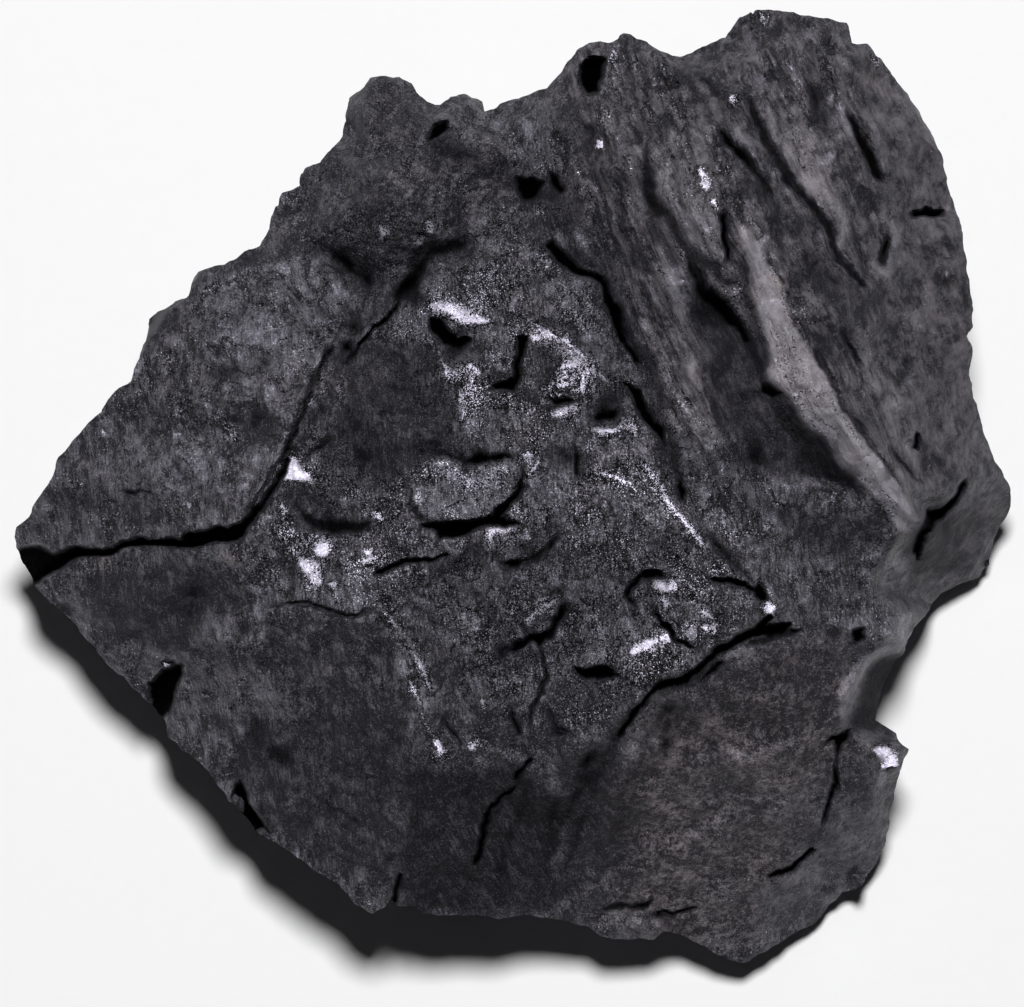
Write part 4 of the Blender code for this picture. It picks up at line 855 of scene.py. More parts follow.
paleStrokes = [  # paler lines: amount, width, run
    (0.75, 3, 704, 268, 716, 284, 728, 301, 741, 320, 756, 343, 769, 366),
    (0.6, 8, 862, 458, 882, 488, 898, 510, 908, 530), (0.25, 7, 760, 300, 780, 340, 806, 384, 836, 428),
    (0.5, 6, 702, 98, 716, 114, 734, 130, 752, 150), (0.45, 4, 746, 110, 760, 134, 774, 160),
    (0.4, 10, 780, 108, 796, 140, 806, 165), (0.45, 8, 806, 170, 820, 195, 836, 215, 848, 240),
    (0.4, 8, 868, 78, 882, 92, 890, 104), (0.4, 4, 868, 236, 876, 262, 888, 284),
    (0.45, 3, 889, 216, 893, 240, 892, 262), (0.25, 7, 908, 192, 940, 198), (0.25, 5, 924, 224, 934, 244),
    (0.35, 4, 610, 200, 614, 214), (0.35, 3, 650, 236, 656, 262, 662, 290),
    (0.45, 6, 672, 318, 684, 340, 694, 366, 700, 396), (0.25, 10, 684, 400, 700, 430, 716, 452),
    (0.35, 4, 720, 292, 736, 312, 752, 336), (0.4, 3, 668, 242, 680, 260, 695, 280),
    (0.35, 4, 860, 326, 866, 342), (0.35, 6, 868, 352, 872, 364), (0.35, 5, 902, 376, 908, 392),
    (0.3, 5, 912, 420, 930, 436), (0.3, 3, 878, 444, 892, 464, 908, 484),
    (0.3, 4, 926, 478, 922, 500, 914, 524), (0.35, 3, 826, 300, 834, 318),
    (0.3, 8, 664, 716, 674, 740, 668, 780), (0.3, 8, 610, 800, 625, 780, 640, 740),
    (0.3, 5, 552, 796, 562, 780), (0.3, 5, 544, 820, 556, 812), (0.3, 6, 520, 850, 530, 870),
    (0.25, 8, 630, 920, 650, 936), (0.35, 5, 886, 780, 880, 806), (0.35, 6, 850, 806, 846, 820),
    (0.3, 12, 205, 680, 250, 690, 280, 690), (0.3, 10, 186, 720, 200, 750), (0.3, 6, 216, 730, 224, 745),
    (0.3, 5, 275, 700, 280, 730), (0.25, 8, 238, 590, 262, 600), (0.4, 6, 455, 128, 470, 140, 486, 148),
    (0.3, 6, 495, 116, 498, 132), (0.3, 8, 530, 122, 534, 132), (0.25, 10, 385, 170, 392, 180),
    (0.3, 8, 300, 218, 310, 210), (0.35, 3, 300, 256, 320, 280, 350, 300),
    (0.35, 3, 316, 260, 336, 284, 354, 298), (0.3, 4, 432, 172, 434, 184),
    (0.3, 8, 420, 286, 450, 300, 480, 306), (0.3, 6, 478, 336, 500, 342, 508, 360),
]

gleams = [  # shine, width, run: small polished faces and edges
    (0.5, 2, 739, 404, 741, 420, 743, 437), (0.45, 2, 720, 520, 730, 540, 738, 560),
    (0.95, 4, 433, 306, 447, 312, 461, 317, 476, 322, 490, 328), (0.5, 2.5, 440, 304, 456, 308, 476, 315),
    (0.85, 2.2, 464, 366, 472, 364, 476, 371, 470, 379, 466, 386),
    (0.9, 1.8, 459, 388, 462, 397, 464, 406, 466, 416), (0.7, 2.5, 448, 418, 452, 425, 448, 432),
    (0.6, 2, 438, 352, 447, 361, 455, 370), (0.95, 3, 531, 333, 542, 336, 556, 342),
    (0.8, 2, 530, 341, 541, 345), (0.85, 2, 558, 342, 568, 342, 577, 350, 584, 362),
    (0.75, 2, 562, 352, 570, 358, 580, 369, 586, 378), (0.9, 1.6, 551, 378, 558, 374, 566, 375, 574, 381),
    (0.85, 1.6, 552, 386, 560, 383, 567, 385), (0.8, 1.5, 556, 369, 563, 365, 570, 367),
    (0.75, 1.6, 580, 374, 581, 384, 578, 394), (0.8, 2.5, 586, 369, 596, 376, 604, 384, 614, 394),
    (0.8, 1.8, 588, 398, 604, 398, 620, 397), (0.9, 2.5, 553, 418, 564, 415, 572, 411, 578, 406),
    (0.7, 2, 536, 394, 544, 404, 550, 413), (0.85, 3, 592, 428, 602, 433, 612, 434, 621, 428),
    (0.5, 5, 620, 422, 628, 428, 636, 440), (1.0, 4.5, 522, 454, 529, 460, 537, 467),
    (0.5, 3, 559, 299, 570, 306, 582, 318), (0.5, 4, 590, 291, 600, 298, 608, 306),
    (0.5, 3, 604, 298, 612, 318, 620, 336, 632, 354), (0.9, 3.5, 625, 354, 634, 364),
    (0.7, 1.4, 640, 466, 652, 478, 664, 494), (1.0, 1.5, 660, 490, 676, 510, 690, 528, 706, 550),
    (0.75, 1.3, 598, 473, 614, 482, 636, 495), (1.0, 7, 295, 456, 294, 468, 294, 482),
    (1.0, 4, 280, 476, 292, 475, 311, 477), (0.5, 3, 300, 464, 309, 476, 318, 488),
    (0.5, 2, 278, 482, 288, 494, 295, 502), (1.0, 6.5, 318, 547, 325, 549, 332, 550),
    (1.0, 4, 358, 529, 368, 532), (0.8, 5, 300, 556, 308, 570, 316, 586),
    (0.6, 4, 308, 554, 318, 572, 324, 590), (0.7, 3, 335, 582, 339, 592, 341, 603),
    (0.5, 3, 290, 543, 296, 556, 300, 568), (0.7, 3, 364, 550, 370, 558, 364, 567),
    (0.5, 3, 326, 541, 336, 540, 350, 541), (0.7, 3, 281, 507, 290, 518), (0.5, 3, 324, 510, 332, 520),
    (0.7, 3, 373, 506, 379, 518), (0.38, 10, 446, 478, 470, 486, 494, 480), (0.42, 6, 484, 472, 506, 470),
    (0.5, 4, 411, 490, 418, 500, 425, 512), (0.8, 2.5, 494, 532, 493, 546, 491, 564),
    (0.6, 4, 488, 531, 500, 525, 516, 524), (0.4, 2.5, 498, 545, 514, 557),
    (0.5, 2.5, 504, 567, 518, 560, 532, 560), (0.4, 2.5, 518, 579, 532, 572, 546, 565),
    (0.9, 2.2, 526, 619, 538, 613, 550, 606, 558, 600), (0.7, 1.6, 524, 608, 536, 600, 550, 594),
    (0.6, 2, 510, 613, 520, 605), (0.6, 3, 411, 650, 420, 662, 427, 674, 434, 690),
    (0.6, 1.8, 400, 667, 412, 684, 420, 700, 425, 716, 430, 730, 437, 744, 443, 758),
    (0.4, 2.5, 380, 602, 389, 614, 397, 626), (0.4, 2, 364, 626, 374, 640, 380, 654),
    (0.4, 2, 367, 662, 376, 678, 381, 694), (0.8, 2, 481, 698, 482, 714), (0.6, 4, 469, 748, 476, 736),
    (0.7, 3, 438, 740, 442, 756), (0.4, 3, 533, 650, 537, 668, 538, 682),
    (0.4, 3, 420, 606, 432, 616, 438, 608), (0.3, 3, 446, 594, 462, 596, 476, 592),
    (0.3, 3, 487, 598, 494, 616, 490, 652), (1.0, 3, 650, 585, 659, 590, 675, 587),
    (1.0, 4, 632, 657, 642, 650, 652, 645), (0.9, 3, 648, 645, 658, 640, 670, 637),
    (0.7, 4, 658, 598, 666, 608), (0.5, 4, 683, 616, 692, 630), (1.0, 4, 704, 620, 713, 628),
    (0.7, 2.5, 705, 604, 713, 614), (1.0, 4, 758, 610, 765, 615, 769, 605), (0.7, 2, 760, 601, 772, 606),
    (0.8, 2, 731, 554, 734, 570), (0.6, 2, 772, 582, 770, 596), (0.5, 2, 698, 640, 688, 642, 678, 640),
    (1.0, 4, 876, 747, 886, 752, 893, 761, 884, 768), (1.0, 3.5, 699, 164, 703, 178, 708, 192),
    (0.6, 2, 713, 198, 718, 214), (0.7, 5, 594, 148, 602, 150), (0.4, 4, 600, 96, 602, 120, 605, 142),
    (0.5, 3, 604, 86, 610, 98), (0.6, 3.5, 607, 54, 614, 68), (0.9, 4.5, 724, 104, 733, 107),
    (0.5, 1.8, 620, 149, 628, 166, 634, 186), (0.4, 3, 657, 90, 666, 104, 676, 124),
    (0.6, 4, 760, 22, 770, 32), (0.5, 3.5, 874, 60, 879, 70), (0.3, 3, 736, 232, 746, 240),
    (0.3, 3, 830, 140, 838, 152), (0.5, 2, 742, 400, 742, 418), (0.3, 2.5, 743, 440, 749, 428),
    (0.3, 1.8, 712, 496, 722, 512, 732, 532, 743, 554), (0.5, 3, 338, 152, 346, 145),
    (0.5, 3, 358, 149, 364, 154, 362, 162), (0.5, 4, 371, 128, 378, 138, 375, 144),
    (0.5, 3, 346, 126, 350, 138), (0.7, 4, 377, 222, 382, 230, 379, 242),
    (0.7, 3.5, 425, 220, 432, 228, 437, 236), (0.5, 3.5, 412, 236, 420, 244, 417, 254),
    (0.4, 3, 389, 266, 395, 276), (0.5, 3, 510, 228, 515, 240), (0.6, 3, 538, 213, 548, 219),
    (0.4, 3, 321, 174, 315, 186, 311, 198), (0.4, 2, 448, 189, 470, 197), (0.5, 2, 463, 184, 469, 198),
    (0.3, 3, 505, 238, 511, 258), (0.7, 2.5, 160, 669, 172, 661), (0.4, 1.8, 129, 684, 138, 698),
    (0.5, 3, 228, 794, 232, 804), (0.7, 3, 245, 817, 252, 821), (0.3, 2.5, 189, 738, 197, 754),
    (0.3, 2, 242, 737, 250, 752, 264, 761), (0.4, 2, 343, 714, 352, 728, 357, 742),
    (0.3, 1.8, 328, 813, 344, 832, 362, 842, 370, 847), (0.5, 2.5, 369, 864, 377, 874),
    (0.5, 2, 362, 901, 371, 910), (0.35, 1.6, 313, 380, 304, 400, 297, 426),
    (0.35, 1.6, 321, 350, 313, 368), (0.35, 4, 335, 386, 340, 400, 345, 416), (0.3, 4, 325, 398, 331, 418),
    (0.5, 2.5, 351, 308, 357, 316), (0.3, 3, 368, 398, 380, 400),
]

# patches of dust and of painted light and shade: darker over hollows, valleys and faces turned from the
# light, paler over some faces that catch it
tonesAndPaintedShade = [  # change of dust and painted light, change of gloss, darkness of painted shade, feather, closed rim
    (-0.1, 0.0, 0.12, 24, 400, 580, 480, 545, 560, 550, 660, 560, 660, 600, 600, 700, 500, 735, 440, 700),
    (-0.05, 0.0, 0.25, 20, 100, 580, 200, 560, 250, 600, 200, 640, 130, 640),
    (-0.05, 0.0, 0.14, 24, 200, 650, 380, 620, 410, 780, 400, 880, 300, 840, 200, 720),
    (0.0, 0.0, 0.14, 24, 340, 110, 420, 90, 520, 170, 480, 250, 380, 290, 300, 220),
    (0.0, 0.0, 0.35, 12, 330, 404, 372, 420, 400, 470, 372, 490, 330, 476, 318, 440),
    (0.0, 0.0, 0.25, 14, 520, 168, 560, 180, 580, 200, 560, 216, 530, 210, 505, 190),
    (-0.25, -0.35, 0.25, 8, 140, 345, 150, 305, 190, 285, 205, 260, 262, 240, 300, 235, 300, 256, 250, 268,
     215, 285, 200, 300, 165, 330, 152, 360),
    (-0.16, 0.0, 0.1, 8, 345, 90, 385, 72, 425, 95, 430, 130, 395, 140, 355, 135),
    (-0.2, -0.1, 0.25, 8, 930, 520, 975, 505, 1000, 520, 980, 575, 940, 575, 925, 550),
    (-0.12, 0.0, 0.1, 8, 845, 775, 885, 775, 880, 835, 850, 835),
    (-0.15, 0.0, 0.1, 8, 556, 95, 592, 98, 592, 165, 560, 165),
    (0.12, 0.0, 0.0, 8, 495, 115, 558, 105, 560, 165, 500, 160),
    (-0.15, 0.0, 0.12, 10, 70, 575, 185, 575, 190, 645, 100, 645),
    (0.15, 0.0, 0.0, 8, 790, 25, 836, 30, 842, 70, 800, 70),
    (0.2, 0.0, 0.0, 8, 235, 315, 305, 315, 300, 372, 240, 375),
    (0.14, 0.0, 0.0, 10, 115, 435, 205, 435, 205, 505, 115, 505),
    (0.18, 0.0, 0.0, 6, 788, 132, 822, 132, 838, 195, 800, 195),
    (0.25, 0.1, 0.0, 3, 345, 552, 356, 546, 374, 548, 380, 572, 382, 608, 350, 610, 343, 580),
    (0.0, 0.0, 0.85, 5, 302, 514, 318, 520, 345, 522, 358, 519, 372, 517, 372, 528, 352, 531, 338, 537,
     314, 532),
    (0.0, 0.0, 0.45, 6, 288, 488, 310, 492, 334, 504, 326, 514, 300, 510, 282, 500),
    (1.5, 0.0, 0.0, 3, 738, 232, 749, 239, 762, 264, 780, 291, 786, 308, 787, 321, 798, 339, 812, 366,
     830, 393, 848, 418, 861, 441, 880, 466, 895, 486, 909, 507, 912, 523, 905, 538, 895, 532, 884, 516,
     877, 500, 864, 491, 850, 479, 837, 468, 825, 452, 815, 439, 800, 418, 787, 400, 780, 389, 766, 375,
     765, 364, 764, 345, 757, 322, 745, 300, 743, 270),
    (0.4, 0.0, 0.0, 7, 782, 129, 800, 128, 816, 160, 836, 205, 852, 240, 846, 262, 830, 236, 815, 205,
     800, 190, 785, 165),
    (0.85, -0.1, 0.0, 3, 907, 612, 910, 648, 901, 653, 882, 659, 874, 662, 868, 673, 861, 687, 853, 700,
     846, 712, 846, 728, 840, 712, 838, 696, 844, 678, 856, 665, 875, 652, 892, 641, 900, 626),
    (0.3, 0.0, 0.0, 4, 890, 765, 884, 800, 877, 832, 868, 828, 874, 796, 880, 770),
    (0.42, 0.15, 0.0, 5, 648, 160, 665, 130, 690, 140, 714, 176, 720, 214, 719, 258, 706, 262, 690, 244,
     672, 226, 660, 205),
    (0.45, 0.1, 0.0, 3, 424, 466, 434, 460, 450, 461, 467, 468, 480, 465, 494, 459, 511, 460, 517, 470,
     514, 484, 498, 503, 478, 515, 460, 520, 430, 514, 414, 500, 413, 484),
    (0.26, 0.1, 0.0, 5, 592, 442, 640, 442, 700, 548, 640, 520, 596, 500),
    (0.25, 0.0, 0.0, 4, 681, 500, 702, 530, 712, 548, 706, 556, 690, 530, 676, 510),
    (0.14, 0.0, 0.0, 12, 200, 275, 300, 260, 322, 330, 296, 420, 246, 400, 180, 400, 165, 330),
    (0.15, 0.0, 0.0, 12, 185, 690, 230, 660, 275, 670, 290, 700, 240, 712, 215, 740, 190, 730),
    (0.2, 0.2, 0.0, 4, 342, 565, 376, 566, 380, 600, 350, 608, 342, 596),
    (0.56, 0.1, 0.0, 5, 580, 620, 606, 608, 632, 610, 650, 624, 640, 650, 618, 664, 582, 660),
    (0.2, 0.0, 0.0, 4, 455, 128, 468, 130, 480, 140, 478, 152, 462, 150),
    (0.35, 0.0, 0.0, 5, 868, 380, 876, 384, 900, 425, 927, 478, 922, 480, 905, 462, 885, 428),
    (0.25, 0.2, 0.0, 4, 600, 96, 610, 100, 614, 140, 608, 156, 597, 150),
    (-0.1, 0.0, 0.3, 9, 330, 246, 345, 248, 356, 262, 366, 280, 372, 290, 358, 292, 348, 284, 340, 268),
    (0.0, 0.0, 0.8, 5, 392, 300, 400, 288, 415, 272, 430, 255, 448, 242, 470, 241, 462, 247, 444, 252,
     432, 266, 418, 282, 424, 298, 432, 300, 418, 304),
    (0.0, 0.0, 0.45, 5, 430, 144, 450, 146, 472, 154, 476, 162, 452, 160, 434, 154),
    (0.0, 0.0, 0.5, 7, 500, 170, 520, 166, 548, 180, 566, 196, 556, 206, 520, 206, 500, 190),
    (0.2, 0.0, 0.0, 12, 640, 250, 668, 270, 700, 390, 720, 460, 690, 440, 660, 360),
    (0.0, 0.0, 0.4, 8, 560, 200, 582, 206, 584, 232, 566, 238, 552, 222),
    (0.0, 0.0, 0.6, 4, 640, 150, 648, 158, 660, 200, 676, 226, 690, 246, 706, 268, 698, 272, 683, 256,
     670, 238, 655, 215, 642, 185),
    (0.0, 0.0, 0.6, 7, 683, 256, 700, 285, 720, 300, 728, 320, 715, 335, 700, 330, 686, 300),
    (-0.05, 0.0, 0.5, 9, 700, 278, 721, 293, 748, 332, 764, 357, 760, 378, 790, 404, 816, 443, 842, 468,
     862, 488, 850, 488, 800, 480, 760, 470, 735, 440, 715, 400, 700, 350, 690, 310),
    (0.0, 0.0, 0.55, 4, 744, 440, 756, 440, 764, 455, 758, 466, 746, 462),
    (0.0, 0.0, 0.5, 5, 800, 450, 820, 458, 850, 478, 848, 487, 815, 480, 796, 470),
    (0.0, 0.0, 0.6, 3, 730, 298, 743, 300, 757, 320, 750, 322, 738, 312),
    (-0.05, 0.0, 0.3, 8, 196, 378, 236, 366, 280, 352, 284, 364, 240, 382, 200, 390),
    (-0.05, 0.0, 0.35, 7, 240, 414, 262, 410, 284, 428, 272, 444, 246, 436),
    (-0.05, 0.0, 0.15, 8, 60, 500, 110, 494, 160, 500, 160, 515, 110, 512, 60, 520),
    (-0.12, 0.0, 0.12, 18, 75, 570, 200, 556, 250, 590, 200, 650, 110, 640),
    (-0.12, 0.0, 0.15, 18, 270, 610, 380, 630, 400, 700, 300, 700, 250, 650),
    (-0.18, 0.0, 0.35, 18, 250, 720, 400, 710, 400, 880, 330, 870, 230, 780),
    (0.0, 0.0, 0.4, 6, 240, 716, 262, 716, 270, 735, 285, 745, 300, 765, 290, 775, 272, 760),
    (0.0, 0.0, 0.35, 6, 186, 580, 204, 576, 206, 612, 190, 618),
    (0.0, 0.0, 0.4, 5, 283, 566, 296, 560, 298, 580, 288, 586),
    (-0.18, 0.0, 0.4, 18, 560, 760, 620, 740, 640, 800, 630, 880, 560, 900),
    (-0.2, 0.0, 0.25, 16, 700, 660, 830, 640, 840, 720, 760, 740, 700, 710),
    (0.0, 0.0, 0.3, 5, 690, 700, 676, 716, 664, 738, 660, 760, 668, 760, 674, 740, 684, 720),
    (-0.14, -0.1, 0.5, 14, 350, 340, 430, 350, 458, 400, 455, 455, 400, 470, 366, 470, 340, 430),
    (0.0, 0.0, 0.3, 5, 444, 344, 470, 348, 488, 352, 476, 360, 452, 362),
    (0.0, 0.0, 0.35, 6, 545, 444, 575, 446, 574, 470, 550, 468),
    (-0.05, 0.0, 0.25, 12, 780, 505, 870, 505, 890, 550, 830, 562, 790, 540),
    (0.0, 0.0, 0.35, 6, 796, 516, 814, 520, 816, 536, 800, 538),
    (0.0, 0.0, 0.18, 10, 770, 210, 800, 220, 850, 290, 870, 340, 850, 380, 810, 320),
    (-0.1, -0.08, 0.64, 14, 405, 765, 520, 765, 560, 800, 560, 915, 400, 915),
    (0.0, 0.0, 0.45, 8, 300, 516, 370, 518, 368, 534, 330, 532, 300, 530),
    (0.0, 0.0, 0.3, 6, 564, 790, 578, 790, 580, 840, 568, 846),
    (0.0, 0.0, 0.75, 8, 880, 658, 905, 655, 900, 700, 880, 734, 850, 728, 850, 712, 864, 684),
]
paleAndLitRibs = [  # dust and painted highlight, width, run: paler along ribs of the relief, some of them lit edges
    (0.45, 5, 833, 50, 838, 90, 845, 122, 860, 156),
    (0.35, 5, 860, 338, 872, 388, 892, 432, 914, 462, 934, 492), (0.3, 5, 874, 366, 900, 416, 924, 458),
    (0.3, 5, 868, 246, 879, 272, 889, 294, 894, 255, 894, 218),
    (0.35, 6, 894, 310, 930, 335, 955, 345, 974, 360), (0.4, 3, 424, 104, 440, 117, 456, 125),
    (0.4, 4, 490, 149, 512, 150, 530, 165), (0.35, 3, 200, 271, 226, 266, 246, 261),
    (0.22, 6, 658, 256, 678, 306, 698, 372, 712, 425),
    (0.45, 3, 668, 242, 684, 262, 702, 284, 724, 298, 742, 318),
    (0.3, 4, 640, 440, 668, 494, 684, 518, 707, 562),
    (0.25, 4, 402, 668, 415, 690, 425, 715, 432, 740, 444, 772),
    (0.25, 4, 382, 600, 396, 626, 414, 655, 434, 692),
]

brownSpots = [  # x, y, radius, dust
    (105, 565, 10, 0.5), (230, 560, 9, 0.4), (775, 285, 12, 0.3), (715, 728, 14, 0.3), (660, 906, 9, 0.3),
    (870, 82, 12, 0.3), (890, 100, 8, 0.3), (770, 22, 10, 0.25),
]

shineSpots = [  # x, y, radius: polished places that catch the light
    (293, 468, 15), (325, 547, 12), (312, 562, 14), (366, 560, 9), (365, 532, 8), (445, 306, 14),
    (470, 316, 14), (460, 370, 8), (468, 388, 8), (465, 408, 8), (545, 346, 12), (566, 358, 12),
    (584, 374, 10), (548, 406, 9), (566, 416, 9), (604, 430, 10), (530, 466, 9), (704, 182, 8),
    (718, 206, 5), (655, 588, 9), (668, 586, 8), (650, 644, 10), (662, 634, 8), (712, 624, 8),
    (690, 626, 10), (764, 614, 9), (888, 756, 9), (540, 612, 12), (612, 62, 6), (600, 150, 6),
    (604, 122, 6), (345, 130, 6), (376, 144, 8), (380, 226, 8), (430, 226, 9), (168, 666, 7), (234, 798, 5),
    (742, 408, 6), (772, 438, 6), (500, 540, 12), (534, 664, 8), (758, 19, 6), (766, 28, 7), (730, 104, 6),
    (878, 64, 5), (836, 148, 5), (480, 740, 10), (440, 756, 8), (422, 668, 8),
]

beads = [  # x, y, radius: small faces that are all shine
    (295, 464, 5), (297, 472, 5), (290, 475, 4), (303, 478, 4), (325, 549, 6), (320, 550, 4),
    (364, 531, 3.5), (888, 754, 5), (706, 624, 3.5), (765, 612, 3.5), (656, 587, 4), (666, 586, 3),
    (702, 172, 3), (650, 643, 4), (639, 653, 3), (668, 636, 3),
]

glossRibs = [  # gloss, width, run
    (0.5, 3, 657, 486, 666, 498, 681, 518, 694, 537, 705, 556), (0.5, 3, 600, 474, 612, 484, 634, 496),
    (0.4, 4, 668, 242, 684, 262, 702, 284), (0.4, 4, 707, 274, 719, 290, 741, 322, 762, 352),
    (0.4, 5, 380, 600, 396, 624, 416, 655, 432, 690),
    (0.4, 4, 402, 668, 415, 690, 425, 715, 432, 740, 444, 772), (0.4, 4, 365, 664, 374, 680, 383, 696),
    (0.4, 5, 380, 575, 382, 592, 380, 602),
]

spotLook = {
    "warmPerDust": 2.0,      # brown spots
    "spotGloss": 0.30,       # round shine spots
    "spotDust": 0.10,
    "spotGleam": 0.16,
    "beadGleam": 2.0,
    "faceDust": 0.15,        # dust that a polished face lacks
    "gleamGain": 1.7,        # shine of a gleam is this times its amount squared
    "gleamWidth": 0.85,
    "gleamGloss": 0.55,      # gloss where a gleam begins
    "fullerGloss": 0.40,     # more of it where the gleam is full
    "mostDust": 2.2,
    "dustScale": 1.6,        # a painted 1 stands for this much dust
}

# dust with painted light and shade, and gloss of the marks, the broad tones first
for dusty, shiny, _, feather, *rim in tonesAndPaintedShade:
    part, mask = inside(rim, feather)
    dustAndPaintedLight[part] += dusty * mask
    gloss[part] += shiny * mask
for amount, width, *run in paleAndLitRibs:
    rib(dustAndPaintedLight, run, amount, width)
for x, y, radius, amount in brownSpots:
    pit(dustAndPaintedLight, x, y, radius, -amount)
    pit(warm, x, y, radius, -spotLook["warmPerDust"] * amount)
for x, y, radius in shineSpots:
    pit(gloss, x, y, radius, -spotLook["spotGloss"])
    pit(dustAndPaintedLight, x, y, radius, spotLook["spotDust"])
for shine, *rim in leanFaces:
    part, mask = inside(rim, 3.0)
    gloss[part] += (shine - gloss[part]) * mask
    dustAndPaintedLight[part] -= spotLook["faceDust"] * mask
for amount, width, *run in glossRibs:
    rib(gloss, run, amount, width)

# shade, painted into the colour: 1 in the open, 0 in cracks, where no light gets in, less in valleys,
# hollows, gaps, along the dark strokes and in the darker patches
shade = np.ones(planX.shape)
for depth, width, *run in cuts:
    cut(shade, run, min(1.0, 1.6 * depth + 0.2), width)
for depth, width, *run in valleys:
    rib(shade, run, -0.5 * depth, width, 2.0)
for x, y, radius, depth in hollows:
    if depth > 0.0:
        pit(shade, x, y, radius * 0.9, min(1.0, depth))
for dark, width, *run in paintedShadeStrokes:
    rib(shade, run, -dark, width, 2.0)
for depth, _, *rim in gaps:
    part, amount = inside(rim, 2.5)
    shade[part] -= min(1.0, 0.6 + 0.5 * depth) * amount
# painted shade of the darker patches
for _, _, dark, feather, *rim in tonesAndPaintedShade:
    part, mask = inside(rim, feather)
    shade[part] *= 1.0 - dark * mask
shade = np.clip(shade, 0.0, 1.0)
for amount, width, *run in paleStrokes:
    rib(dustAndPaintedLight, run, amount, width, 2.0)

# gleam: how much of a place is polished faces that catch the light
gleam = np.zeros(planX.shape)
for amount, width, *run in gleams:
    rib(gleam, run, spotLook["gleamGain"] * amount ** 2, spotLook["gleamWidth"] * width, 4.0)
for x, y, radius in shineSpots:
    pit(gleam, x, y, radius, -spotLook["spotGleam"])
for x, y, radius in beads:
    pit(gleam, x, y, radius, -spotLook["beadGleam"])
gleam = np.clip(gleam, 0.0, 1.0)
gleamGloss = spotLook["gleamGloss"] + spotLook["fullerGloss"] * gleam
gloss += (gleamGloss - gloss) * np.clip(2.0 * gleam, 0.0, 1.0)
gleam += weighed("sparkle")
gleam += 0.16 * layered(planX, planY, 26.0, 331, 3) * np.clip(middle + knob + 0.5 * leftSide, 0.0, 1.0)
gleam = np.clip(gleam, 0.0, 1.0) * shade

# painted light and shade: paler on raised places and darker in hollows, and the fields as the material takes
# them
raised = height - blur(height, 10.0)
dustAndPaintedLight += np.clip(raised * 0.35, -0.10, 0.12)
gloss = np.clip(gloss, 0.0, 1.0)
dustAndPaintedLight = np.clip(dustAndPaintedLight, 0.0, spotLook["mostDust"]) / spotLook["dustScale"]
warm = np.clip(warm, 0.0, 1.0)
lay = np.clip(streaks + right + bottom, 0.0, 1.0)  # fibres run to the front right here
soot = np.clip(front + 0.8 * knob + 0.4 * right, 0.0, 1.0)
print("finish of each area done")


# Value of a field between its cells.
def sampled(field, x, y):
    i = np.clip((x - xs[0]) / sheet["cell"], 0, len(xs) - 1.001)
    j = np.clip((y - ys[0]) / sheet["cell"], 0, len(ys) - 1.001)
    i0 = i.astype(int)
    j0 = j.astype(int)
    u = i - i0
    v = j - j0
    near = field[j0, i0] * (1 - u) + field[j0, i0 + 1] * u
    far = field[j0 + 1, i0] * (1 - u) + field[j0 + 1, i0 + 1] * u
    return near * (1 - v) + far * v


# Angle and distance of the rim from the middle of the plan, as functions of the length along the rim.
def rimTable():
    rim = np.array(outline[::-1] + outline[-1:], float)
    t = np.arange(12) / 12.0
    rim = (rim[:-1, None, :] * (1 - t[None, :, None]) + rim[1:, None, :] * t[None, :, None]).reshape(-1, 2)
    rim = rim + 1.6 * np.stack([layered(rim[:, 0], rim[:, 1], 14.0, 201, 3),
                                layered(rim[:, 0], rim[:, 1], 14.0, 205, 3)], -1)
    rim = np.vstack([rim, rim[:1]])
    x = rim[:, 0] - planCentre[0]
    y = planCentre[1] - rim[:, 1]
    angle = np.maximum.accumulate(np.unwrap(np.arctan2(y, x)))
    place = np.concatenate([[0.0], np.cumsum(np.hypot(np.diff(x), np.diff(y)))])
    return place / place[-1], angle, np.hypot(x, y)


rimPlanes = [  # azimuth in degrees, distance at the foot in mm, lean per mm of height
    (224, 20.5, 0.23), (142, 17.5, 0.28), (101, 22.5, 0.14), (62, 24.0, 0.20), (40, 23.5, 0.26),
    (11, 26.0, 0.25), (-23, 24.5, 0.40), (-48, 25.0, 0.35), (262, 23.5, 0.30), (183, 24.0, 0.30),
]
footPlanes = [
    (205, 16.5, 1.05), (243, 17.5, 0.80), (168, 16.0, 1.20), (121, 16.5, 0.90), (78, 19.5, 0.70),
    (27, 19.5, 0.80), (-12, 20.5, 1.05), (286, 20.5, 0.90), (-42, 21.0, 1.05),
]
walls = {
    "roughness": 0.35,   # mm, as the next three
    "blocks": 0.45,
    "layers": 0.42,
    "bowls": 0.18,
    "layersPerMm": 0.42,
    "dip": 0.042,        # more layers per mm to the right
    "rimFade": 2.5,      # mm below the rim over which its small teeth fade
    "tuck": 0.06,        # the foot stays this share inside the rim
}


# Distance of the wall from the middle: the least of (foot + lean z) / cos(azimuth - facing).
def wallReach(azimuth, z):
    reaches = np.full(np.broadcast(azimuth, z).shape, 1e9)
    for facing, foot, lean in rimPlanes + footPlanes:
        towards = np.cos(azimuth - math.radians(facing))
        reached = (foot + lean * z) / np.maximum(towards, 0.05)
        reaches = np.where(towards > 0.2, np.minimum(reaches, reached), reaches)
    return reaches


# Blend of two plane patterns, one for walls that face x and one for walls that face y.
def onWall(pattern, azimuth, x, y, z):
    facingX = np.cos(azimuth) ** 2
    return pattern(y + 40.0, z + 9.0) * facingX + pattern(x + 70.0, z + 30.0) * (1.0 - facingX)


